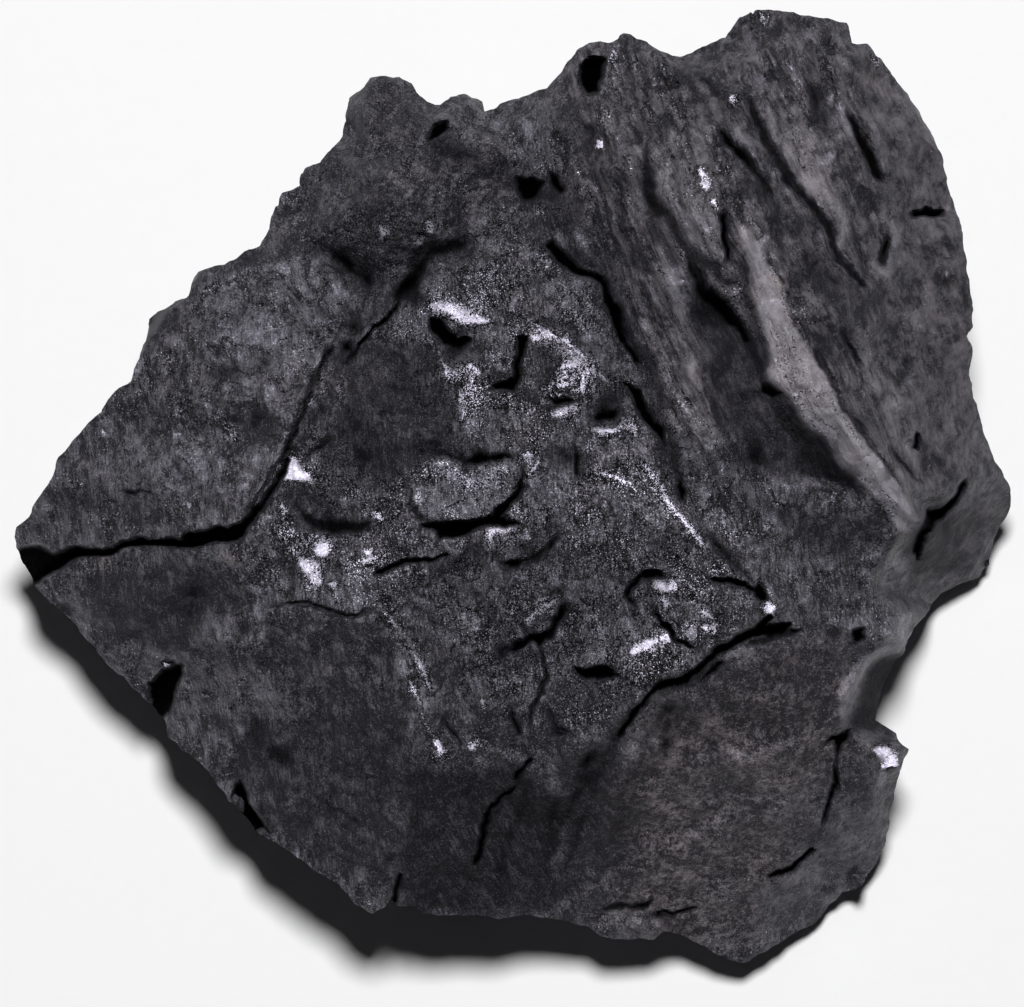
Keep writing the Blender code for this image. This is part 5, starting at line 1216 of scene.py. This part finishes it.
# The sheet is a function of (u, v) in a square: the square goes to a disc by r = max(|u|, |v|), the disc is
# stretched to the rim, and z is the relief there. The wall goes on from the rim: at height z the rim's
# distance times wallReach(z) / wallReach(rim z). The underside closes on the middle.
def lumpArrays():
    half = sheet["topCells"] // 2
    side = 2 * half + 1
    i, j = np.meshgrid(np.arange(-half, half + 1), np.arange(-half, half + 1), indexing="ij")
    ring = np.maximum(abs(i), abs(j)) / half
    wide = abs(i) >= abs(j)
    longer = np.where(wide, i, j)
    across = np.where(wide, j, i) / np.where(longer == 0, 1, longer)
    turn = np.where(wide, np.where(i < 0, math.pi, 0.0) + math.pi / 4 * across,
                    np.where(j < 0, 1.5 * math.pi, 0.5 * math.pi) - math.pi / 4 * across)
    place, angle, reach = rimTable()
    mildReach = np.interp(np.arange(512) / 512.0, place, reach)
    for _ in range(60):
        mildReach = (np.roll(mildReach, 1) + mildReach + np.roll(mildReach, -1)) / 3.0

    def rimAt(turned):
        s = ((turned - angle[0]) / (2.0 * math.pi)) % 1.0
        bent = np.interp(s, place, angle) - angle[0] - 2.0 * math.pi * s
        mild = np.interp(s, np.arange(513) / 512.0, np.append(mildReach, mildReach[0]))
        return bent, np.interp(s, place, reach), mild

    bent, far, mild = rimAt(turn)
    theta = turn + bent * ring ** 2
    radius = ring * (mild + (far - mild) * ring ** 4)
    x = radius * np.cos(theta)
    y = radius * np.sin(theta)
    plan = (planCentre[0] + x, planCentre[1] - y)
    top = np.stack([x * unit / mm, y * unit / mm, sampled(height, *plan)], -1).reshape(-1, 3)
    # the finish holds gloss, dust with painted light, warmth and painted shade
    topFinish = np.stack([sampled(field, *plan) for field in (gloss, dustAndPaintedLight, warm, shade)], -1).reshape(-1, 4)
    topLay = np.stack([sampled(field, *plan) for field in (lay, soot, gleam, fine)], -1).reshape(-1, 4)

    steps = np.arange(2 * half)
    edge = np.concatenate([(2 * half) * side + steps, (2 * half - steps) * side + 2 * half, 2 * half - steps,
                           steps * side])
    rimX, rimY, rimZ = top[edge].T
    azimuth = np.arctan2(rimY, rimX)
    _, far, mild = rimAt(turn.reshape(-1)[edge])
    calmZ = rimZ.copy()
    for _ in range(400):
        calmZ = (np.roll(calmZ, 1) + calmZ + np.roll(calmZ, -1)) / 3.0
    t = (np.arange(1, sheet["wallRows"] + 1) / sheet["wallRows"])[:, None]
    z = rimZ * (1.0 - t)
    fade = np.exp(-(rimZ - z) / walls["rimFade"])
    ratio = wallReach(azimuth, z) / (wallReach(azimuth, calmZ[None, :]) * (1.0 - fade)
                                     + wallReach(azimuth, rimZ[None, :]) * fade)
    radius = (mild + (far - mild) * fade) * ratio * unit / mm
    spots = (azimuth, radius * np.cos(azimuth), radius * np.sin(azimuth), z)
    bulge = np.sin(math.pi * t) ** 0.5
    rough = onWall(lambda p, q: layered(p, q, 6.0, 211, 5), *spots)
    waves = onWall(lambda p, q: noise(p / 9.0, q / 12.0, 221), *spots)
    layer = z * walls["layersPerMm"] + walls["dip"] * spots[1] + 0.5 * waves
    shelf = layer - np.floor(layer)
    blocks = onWall(lambda p, q: cells(p / 4.2, q / 2.6, 231)[1], *spots)
    bowls = onWall(lambda p, q: cells(p / 1.6, q / 1.1, 232)[0] ** 2, *spots)
    radius = radius + bulge * (walls["roughness"] * 1.5 * rough - walls["layers"] * shelf
                               - walls["blocks"] * blocks - walls["bowls"] * bowls)
    radius = np.minimum(radius, np.hypot(rimX, rimY)[None, :] * (1.0 - walls["tuck"] * t))
    wall = np.stack([radius * np.cos(azimuth), radius * np.sin(azimuth), z + 0 * radius], -1)
    shiny = onWall(lambda p, q: layered(p / 3.0, q, 1.6, 241, 3), *spots)
    dusty = onWall(lambda p, q: layered(p, q, 5.0, 251, 4), *spots)
    wallFinish = np.stack([np.clip(0.34 + 0.6 * shiny, 0, 1), np.clip(0.22 + 0.3 * dusty, 0, 1),
                           np.clip(0.30 + 0.4 * dusty, 0, 1), 1.0 + 0.0 * dusty], -1)

    rings = [wall[-1] * k for k in (0.75, 0.5, 0.25)]
    points = np.vstack([top, wall.reshape(-1, 3), np.vstack(rings), [[0.0, 0.0, 0.0]]]) * mm
    footFinish = np.tile([0.2, 0.3, 0.4, 1.0], (3 * len(edge) + 1, 1))
    colours = np.vstack([topFinish, wallFinish.reshape(-1, 4), footFinish])
    lays = np.vstack([topLay, np.tile([0.5, 0.5, 0.0, 1.0], (len(colours) - len(topLay), 1))])
    lattice = np.arange(side * side).reshape(side, side)
    quads = np.stack([lattice[:-1, :-1], lattice[1:, :-1], lattice[1:, 1:], lattice[:-1, 1:]], -1)
    quads = quads.reshape(-1, 4)
    below = side * side + np.arange((sheet["wallRows"] + len(rings)) * len(edge))
    rows = np.vstack([edge, below.reshape(-1, len(edge))])
    after = np.roll(rows, -1, 1)
    quads = np.vstack([quads, np.stack([rows[:-1], rows[1:], after[1:], after[:-1]], -1).reshape(-1, 4)])
    cap = np.stack([rows[-1], np.full(len(edge), len(points) - 1), after[-1]], -1)
    return points, colours, lays, quads, cap


# Put the arrays into a mesh: quads first, then the triangles of the underside.
def buildMesh(name, points, quads, triangles):
    mesh = bpy.data.meshes.new(name)
    mesh.vertices.add(len(points))
    mesh.vertices.foreach_set("co", points.ravel())
    corners = np.concatenate([quads.ravel(), triangles.ravel()]).astype(np.int32)
    starts = np.concatenate([np.arange(len(quads)) * 4, len(quads) * 4 + np.arange(len(triangles)) * 3])
    mesh.loops.add(len(corners))
    mesh.loops.foreach_set("vertex_index", corners)
    mesh.polygons.add(len(starts))
    mesh.polygons.foreach_set("loop_start", starts.astype(np.int32))
    mesh.update(calc_edges=True)
    mesh.validate()
    return mesh


points, colours, lays, quads, cap = lumpArrays()
mesh = buildMesh("coalSheet", points, quads, cap)
for name, values in (("finish", colours), ("lay", lays)):
    mesh.attributes.new(name, "FLOAT_COLOR", "POINT").data.foreach_set("color", values.ravel())
dense = bpy.data.objects.new("coalSheet", mesh)
bpy.context.scene.collection.objects.link(dense)
print("dense sheet of", 2 * len(quads) + len(cap), "triangles done")

# thin the even grid: broad triangles on smooth faces, small ones at edges and cracks
thin = dense.modifiers.new("thin", "DECIMATE")
thin.ratio = sheet["triangles"] / (2.0 * len(quads) + len(cap))
thin.use_collapse_triangulate = True
thinned = dense.evaluated_get(bpy.context.evaluated_depsgraph_get())
lumpMesh = bpy.data.meshes.new_from_object(thinned)
lumpMesh.name = "coalLump"
bpy.data.objects.remove(dense, do_unlink=True)
bpy.data.meshes.remove(mesh)
lump = bpy.data.objects.new("coalLump", lumpMesh)
bpy.context.scene.collection.objects.link(lump)

# over the middle of the CAD box, on the paper; the lowest points are set to the paper exactly
co = np.empty(len(lumpMesh.vertices) * 3)
lumpMesh.vertices.foreach_get("co", co)
co = co.reshape(-1, 3)
co[co[:, 2] < 0.05 * mm, 2] = 0.0
middleOfBox = [(low + high) / 2.0 for low, high in zip(lumpLow[:2], lumpHigh[:2])]
co[:, :2] += np.array(middleOfBox) - (co[:, :2].min(0) + co[:, :2].max(0)) / 2.0
lumpMesh.vertices.foreach_set("co", co.ravel())
lumpMesh.shade_smooth()
lumpMesh.set_sharp_from_angle(angle=math.radians(38))
lumpMesh.update()
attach(lump, "root")
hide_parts("coal_lump")
print("lump of", len(lumpMesh.polygons), "triangles done")


# Place in metres of a plan point. Plan point (514, 490.5) is over the middle of the box.
def planPlace(x, y):
    return middleOfBox[0] + (x - 514.0) * unit, middleOfBox[1] + (490.5 - y) * unit


coalLook = {
    "dark": (0.0105, 0.0102, 0.0115),
    "paleCool": (0.318, 0.310, 0.362),  # the palest: thickest dust and most painted light
    "paleWarm": (0.362, 0.320, 0.333),
    # painted shade: its colour where it is full
    "paintedShadeColour": (0.001, 0.001, 0.001),
    "paintedDustAndLight": 0.94,    # share of the painted dust and light that is even
    "mottleDust": 0.23,     # more or less of it in clouds
    "strokeDust": 0.21,     # and in long fibres
    "speckDust": 0.6,
    "thickDust": 1.5,       # as much as this is all pale
    "patchGloss": 0.32,
    "grainGloss": 0.45,
    "dullRoughness": 0.80,
    "glossRoughness": 0.26,
    "ior": 1.46,
    "shineTint": (0.98, 0.93, 1.13),
    "strokeDepth": 0.020,   # mm, short fibres
    "grainDepth": 0.010,    # mm
    "sootDepth": 0.050,     # mm
    "sparkleSize": 0.095,   # mm, polished grains
    "sparkleLean": 0.30,
    "glintSpread": 0.16,    # slope by which neighbouring polished grains differ
    "ringSpacing": 0.42,    # mm
    "ringPlace": (561.0, 384.0),  # plan point of the bowl that the rings are round
    "ringStrength": 0.07,
    "shineStart": 0.675,    # level of the finest noise that shines where nothing gleams
    "gleamStart": 0.355,    # the same where all gleams
    "shineStep": 0.022,     # noise over which it comes on
    "mostShine": 0.94,
    "fineRelief": 0.55,     # times the fineness squared
}


# Makes and joins the nodes of one material. A link is named after its input, or i and the input's number.
class NodeKit:
    def __init__(self, material):
        material.use_nodes = True
        self.tree = material.node_tree
        self.shader = self.tree.nodes["Principled BSDF"]

    def add(self, kind, settings=None, **links):
        node = self.tree.nodes.new(kind)
        for key, value in (settings or {}).items():
            setattr(node, key, value)
        for key, value in links.items():
            numbered = key[0] == "i" and key[1:].isdigit()
            self.feed(node, int(key[1:]) if numbered else key.replace("_", " "), value)
        return node

    def feed(self, node, key, value):
        socket = node.inputs[key]
        if isinstance(value, bpy.types.NodeSocket):
            self.tree.links.new(value, socket)
        else:
            socket.default_value = value

    # Vector maths: output 0 is a vector, output 1 a length or a product.
    def vector(self, operation, a, b=(0.0, 0.0, 0.0), output=0):
        return self.add("ShaderNodeVectorMath", {"operation": operation}, i0=a, i1=b).outputs[output]

    def scaled(self, a, factor):
        return self.add("ShaderNodeVectorMath", {"operation": "SCALE"}, i0=a, Scale=factor).outputs[0]

    def math(self, operation, a, b=0.0, clamp=False):
        return self.add("ShaderNodeMath", {"operation": operation, "use_clamp": clamp}, i0=a, i1=b).outputs[0]

    def ramp(self, value, low, high, toLow, toHigh):
        return self.add("ShaderNodeMapRange", None, Value=value, From_Min=low, From_Max=high, To_Min=toLow,
                        To_Max=toHigh).outputs[0]

    def mix(self, amount, a, b):
        node = self.add("ShaderNodeMix", {"data_type": "RGBA"}, i0=amount)
        self.feed(node, 6, a)
        self.feed(node, 7, b)
        return node.outputs[2]


coal = bpy.data.materials.new("coal")
kit = NodeKit(coal)
position = kit.add("ShaderNodeTexCoord").outputs["Object"]


# The four values of a field that is painted on the points.
def painted(name):
    field = kit.add("ShaderNodeAttribute", {"attribute_name": name}).outputs
    split = kit.add("ShaderNodeSeparateColor", None, Color=field["Color"]).outputs
    return split[0], split[1], split[2], field["Alpha"]


# Noise over the lump, 0 to 1. A stretched one is turned first, in degrees.
def coalNoise(sizeMm, detail, roughness, stretch=None, turn=0.0):
    mapped = position
    if stretch:
        turned = (0.0, 0.0, -math.radians(turn))
        mapped = kit.add("ShaderNodeMapping", None, Vector=position, Rotation=turned).outputs[0]
        mapped = kit.add("ShaderNodeMapping", None, Vector=mapped, Scale=stretch).outputs[0]
    return kit.add("ShaderNodeTexNoise", None, Vector=mapped, Scale=1.0 / (sizeMm * mm), Detail=detail,
                   Roughness=roughness).outputs[0]


# Value blend of two sockets.
def between(amount, a, b):
    return kit.add("ShaderNodeMix", {"data_type": "FLOAT"}, i0=amount, i2=a, i3=b).outputs[0]


# the fourth value of the finish is painted shade, 1 in the open
glossHere, dustAndLightHere, warmHere, paintedShadeFree = painted("finish")
slanted, sooted, gleaming, fineness = painted("lay")

mottle = coalNoise(1.2, 5.0, 0.62)
grain = coalNoise(0.10, 2.0, 0.6)
sootNoise = coalNoise(0.30, 3.0, 0.75)
uprightStrokes = coalNoise(0.13, 2.0, 0.6, (1.0, 0.16, 1.0), 4.0)
slantStrokes = coalNoise(0.14, 2.0, 0.6, (1.0, 0.10, 1.0), 27.0)
strokes = between(slanted, uprightStrokes, slantStrokes)
strokes = between(sooted, strokes, sootNoise)
longStrokes = between(slanted, coalNoise(0.42, 2.0, 0.5, (1.0, 0.25, 1.0), 10.0),
                      coalNoise(0.42, 2.0, 0.5, (1.0, 0.12, 1.0), 27.0))
longStrokes = between(sooted, longStrokes, coalNoise(0.55, 2.0, 0.6))

# dust and painted light: the painted values of the points, with a pale film on the raised fibres and grains
dustAndLightAmount = kit.math("MULTIPLY", dustAndLightHere, coalLook["paintedDustAndLight"])
clouds = kit.ramp(mottle, 0.32, 0.68, -coalLook["mottleDust"], coalLook["mottleDust"])
dustAndLightAmount = kit.math("ADD", dustAndLightAmount, clouds)
dustyFibres = kit.ramp(longStrokes, 0.3, 0.7, -coalLook["strokeDust"], coalLook["strokeDust"])
dustAndLightAmount = kit.math("ADD", dustAndLightAmount, dustyFibres)
fineDust = kit.math("ADD", kit.ramp(strokes, 0.3, 0.7, -0.20, 0.24), kit.ramp(grain, 0.3, 0.7, -0.16, 0.19))
dustAndLightAmount = kit.math("ADD", dustAndLightAmount, kit.math("MULTIPLY", fineDust, fineness))
specks = kit.ramp(coalNoise(0.085, 1.0, 0.5), 0.64, 0.72, 0.0, coalLook["speckDust"])
specks = kit.math("MULTIPLY", specks, fineness)
dustAndLightAmount = kit.math("ADD", kit.math("MAXIMUM", dustAndLightAmount, 0.0), specks)
dustAndLightAmount = kit.math("DIVIDE", dustAndLightAmount, coalLook["thickDust"], clamp=True)
paleTint = kit.mix(warmHere, coalLook["paleCool"] + (1.0,), coalLook["paleWarm"] + (1.0,))
colour = kit.mix(dustAndLightAmount, coalLook["dark"] + (1.0,), paleTint)
# painted shade: towards black where it is deep
colour = kit.mix(paintedShadeFree, coalLook["paintedShadeColour"] + (1.0,), colour)
kit.feed(kit.shader, "Base Color", colour)

# gloss: in patches, with polished grains, none in the painted shade of cracks
patches = kit.ramp(coalNoise(0.7, 4.0, 0.62), 0.32, 0.68, -coalLook["patchGloss"], coalLook["patchGloss"])
patches = kit.math("MULTIPLY", patches, kit.ramp(glossHere, 0.5, 0.9, 1.0, 0.35))
glossAmount = kit.math("ADD", glossHere, patches, clamp=True)
polishedGrains = kit.ramp(coalNoise(0.09, 0.0, 0.5), 0.66, 0.76, 0.0, coalLook["grainGloss"])
glossAmount = kit.math("ADD", glossAmount, polishedGrains, clamp=True)
glossAmount = kit.math("MULTIPLY", glossAmount, paintedShadeFree)
roughness = kit.ramp(glossAmount, 0.0, 1.0, coalLook["dullRoughness"], coalLook["glossRoughness"])
kit.feed(kit.shader, "Roughness", between(paintedShadeFree, 1.0, roughness))
kit.feed(kit.shader, "IOR", coalLook["ior"])
kit.feed(kit.shader, "Specular Tint", coalLook["shineTint"] + (1.0,))
# painted shade: black and metallic where it is deep, so it gives back no light
kit.feed(kit.shader, "Metallic", kit.ramp(paintedShadeFree, 0.0, 0.5, 1.0, 0.0))

# raised fibres, grains and soot, in mm, less on polished places
sootRise = kit.math("MULTIPLY", kit.math("MULTIPLY", sootNoise, sooted), coalLook["sootDepth"])
fibres = kit.math("MULTIPLY", strokes, coalLook["strokeDepth"])
fibres = kit.math("ADD", fibres, kit.math("MULTIPLY", grain, coalLook["grainDepth"]))
fibres = kit.math("ADD", fibres, sootRise)
fibres = kit.math("MULTIPLY", fibres, kit.ramp(glossHere, 0.4, 0.9, 1.0, 0.05))
fineRelief = kit.math("MULTIPLY", kit.math("POWER", fineness, 2.0), coalLook["fineRelief"])
fibres = kit.math("MULTIPLY", fibres, fineRelief)

# grains: each cell of broken cells leans its own way, height = (place - cell) . (random - 1/2)
cellsPerMetre = 1.0 / (coalLook["sparkleSize"] * mm)
sparkle = kit.add("ShaderNodeTexVoronoi", None, Vector=position, Scale=cellsPerMetre).outputs
offset = kit.vector("SUBTRACT", kit.scaled(position, cellsPerMetre), sparkle["Position"])
randomWay = kit.vector("SUBTRACT", sparkle["Color"], (0.5, 0.5, 0.5))
leaning = kit.vector("DOT_PRODUCT", offset, randomWay, output=1)
leaning = kit.math("MULTIPLY", leaning, kit.ramp(glossHere, 0.5, 1.0, 1.0, 0.2))
leaning = kit.math("MULTIPLY", leaning, fineRelief)
chip = kit.add("ShaderNodeBump", None, Height=leaning,
               Distance=coalLook["sparkleLean"] * coalLook["sparkleSize"] * mm, Strength=1.0)
bumps = kit.add("ShaderNodeBump", None, Height=fibres, Distance=mm, Strength=1.0, Normal=chip.outputs[0])

# rings round one small bowl: cos(2 pi distance / spacing), fading with the distance
bowl = kit.vector("SUBTRACT", position, planPlace(*coalLook["ringPlace"]) + (0.0,))
bowl = kit.vector("MULTIPLY", bowl, (1.0, 1.2, 0.0))
bowlAway = kit.vector("LENGTH", bowl, output=1)
bowlAway = kit.math("ADD", bowlAway, kit.ramp(coalNoise(0.9, 2.0, 0.5), 0.3, 0.7, -6.0 * unit, 6.0 * unit))
rings = kit.math("COSINE", kit.math("MULTIPLY", bowlAway, 2.0 * math.pi / (coalLook["ringSpacing"] * mm)))
ringFade = kit.ramp(bowlAway, 10.0 * unit, 30.0 * unit, coalLook["ringStrength"], 0.0)
rings = kit.math("MULTIPLY", rings, ringFade)

# polished faces too small for the mesh: where the finest noise is over the limit, the surface leans to the
# back as the larger faces do, and the lower the limit, the more of it
limit = kit.ramp(gleaming, 0.0, 1.0, coalLook["shineStart"], coalLook["gleamStart"])
finest = between(0.45, between(0.4, grain, strokes), coalNoise(0.078, 0.0, 0.5))
finest = kit.math("ADD", kit.math("SUBTRACT", finest, limit), rings)
shining = kit.ramp(finest, 0.0, coalLook["shineStep"], 0.0, coalLook["mostShine"])
spread = kit.scaled(randomWay, kit.ramp(gleaming, 0.3, 0.9, coalLook["glintSpread"], 0.02))
spread = kit.vector("ADD", spread, (0.012, relief["lean"], 0.99))
leanWay = kit.add("ShaderNodeVectorTransform", {"vector_type": "NORMAL"}, Vector=spread).outputs[0]
towards = kit.scaled(leanWay, shining)
own = kit.scaled(bumps.outputs[0], kit.math("SUBTRACT", 1.0, shining))
kit.feed(kit.shader, "Normal", kit.vector("NORMALIZE", kit.vector("ADD", towards, own)))
lumpMesh.materials.clear()
lumpMesh.materials.append(coal)
print("coal finish done")


stageLook = {
    "paperLight": (0.86, 0.86, 0.865, 1.0),
    "paperDark": (0.84, 0.84, 0.848, 1.0),
    "paperRoughness": 0.9,
    "paperSize": 1.6,       # m, as all lengths here
    "cameraHeight": 1.0,
    "rimHeight": 0.016,
    "viewWidth": 0.0614,    # across the frame at the rim
    "sensor": 36.0,         # mm
    "frameMiddle": (512.0, 503.5),  # plan point
    "aim": (0.0, 0.0, 0.012),
    "keyPower": 9.2,
    "keySize": 0.135,
    "keyPlace": (0.018, 0.235, 0.880),
    "fillPower": 0.08,
    "fillSize": 0.7,
    "fillPlace": (-0.10, 0.10, 0.8),
    "world": 0.002,
}

bpy.ops.mesh.primitive_plane_add(size=stageLook["paperSize"], location=(0.0, 0.0, 0.0))
paper = bpy.context.object
paper.name = "paper"
paperFinish = bpy.data.materials.new("paper")
paperKit = NodeKit(paperFinish)
paperPlace = paperKit.add("ShaderNodeTexCoord").outputs["Object"]
paperFibres = paperKit.add("ShaderNodeTexNoise", None, Vector=paperPlace, Scale=900.0, Detail=4.0).outputs[0]
paperColour = paperKit.mix(paperFibres, stageLook["paperDark"], stageLook["paperLight"])
paperKit.feed(paperKit.shader, "Base Color", paperColour)
paperKit.feed(paperKit.shader, "Roughness", stageLook["paperRoughness"])
paper.data.materials.append(paperFinish)


# A round soft lamp that points at the lump.
def softLight(name, place, size, power):
    data = bpy.data.lights.new(name, "AREA")
    data.shape = "DISK"
    data.size = size
    data.energy = power
    lamp = bpy.data.objects.new(name, data)
    bpy.context.scene.collection.objects.link(lamp)
    lamp.location = place
    lamp.rotation_euler = (Vector(stageLook["aim"]) - lamp.location).to_track_quat("-Z", "Y").to_euler()


softLight("key", stageLook["keyPlace"], stageLook["keySize"], stageLook["keyPower"])
softLight("fill", stageLook["fillPlace"], stageLook["fillSize"], stageLook["fillPower"])

# the camera looks straight down; its lens makes the frame as wide as viewWidth at the height of the rim
cameraData = bpy.data.cameras.new("camera")
cameraData.sensor_width = stageLook["sensor"]
rimAway = stageLook["cameraHeight"] - stageLook["rimHeight"]
cameraData.lens = stageLook["sensor"] * rimAway / stageLook["viewWidth"]
cameraData.clip_start = 0.01
camera = bpy.data.objects.new("camera", cameraData)
bpy.context.scene.collection.objects.link(camera)
camera.location = planPlace(*stageLook["frameMiddle"]) + (stageLook["cameraHeight"],)
bpy.context.scene.camera = camera

world = bpy.data.worlds.new("studio")
world.use_nodes = True
background = world.node_tree.nodes["Background"].inputs
background[0].default_value = (1.0, 1.0, 1.0, 1.0)
background[1].default_value = stageLook["world"]
bpy.context.scene.world = world
bpy.context.scene.view_settings.view_transform = "Standard"
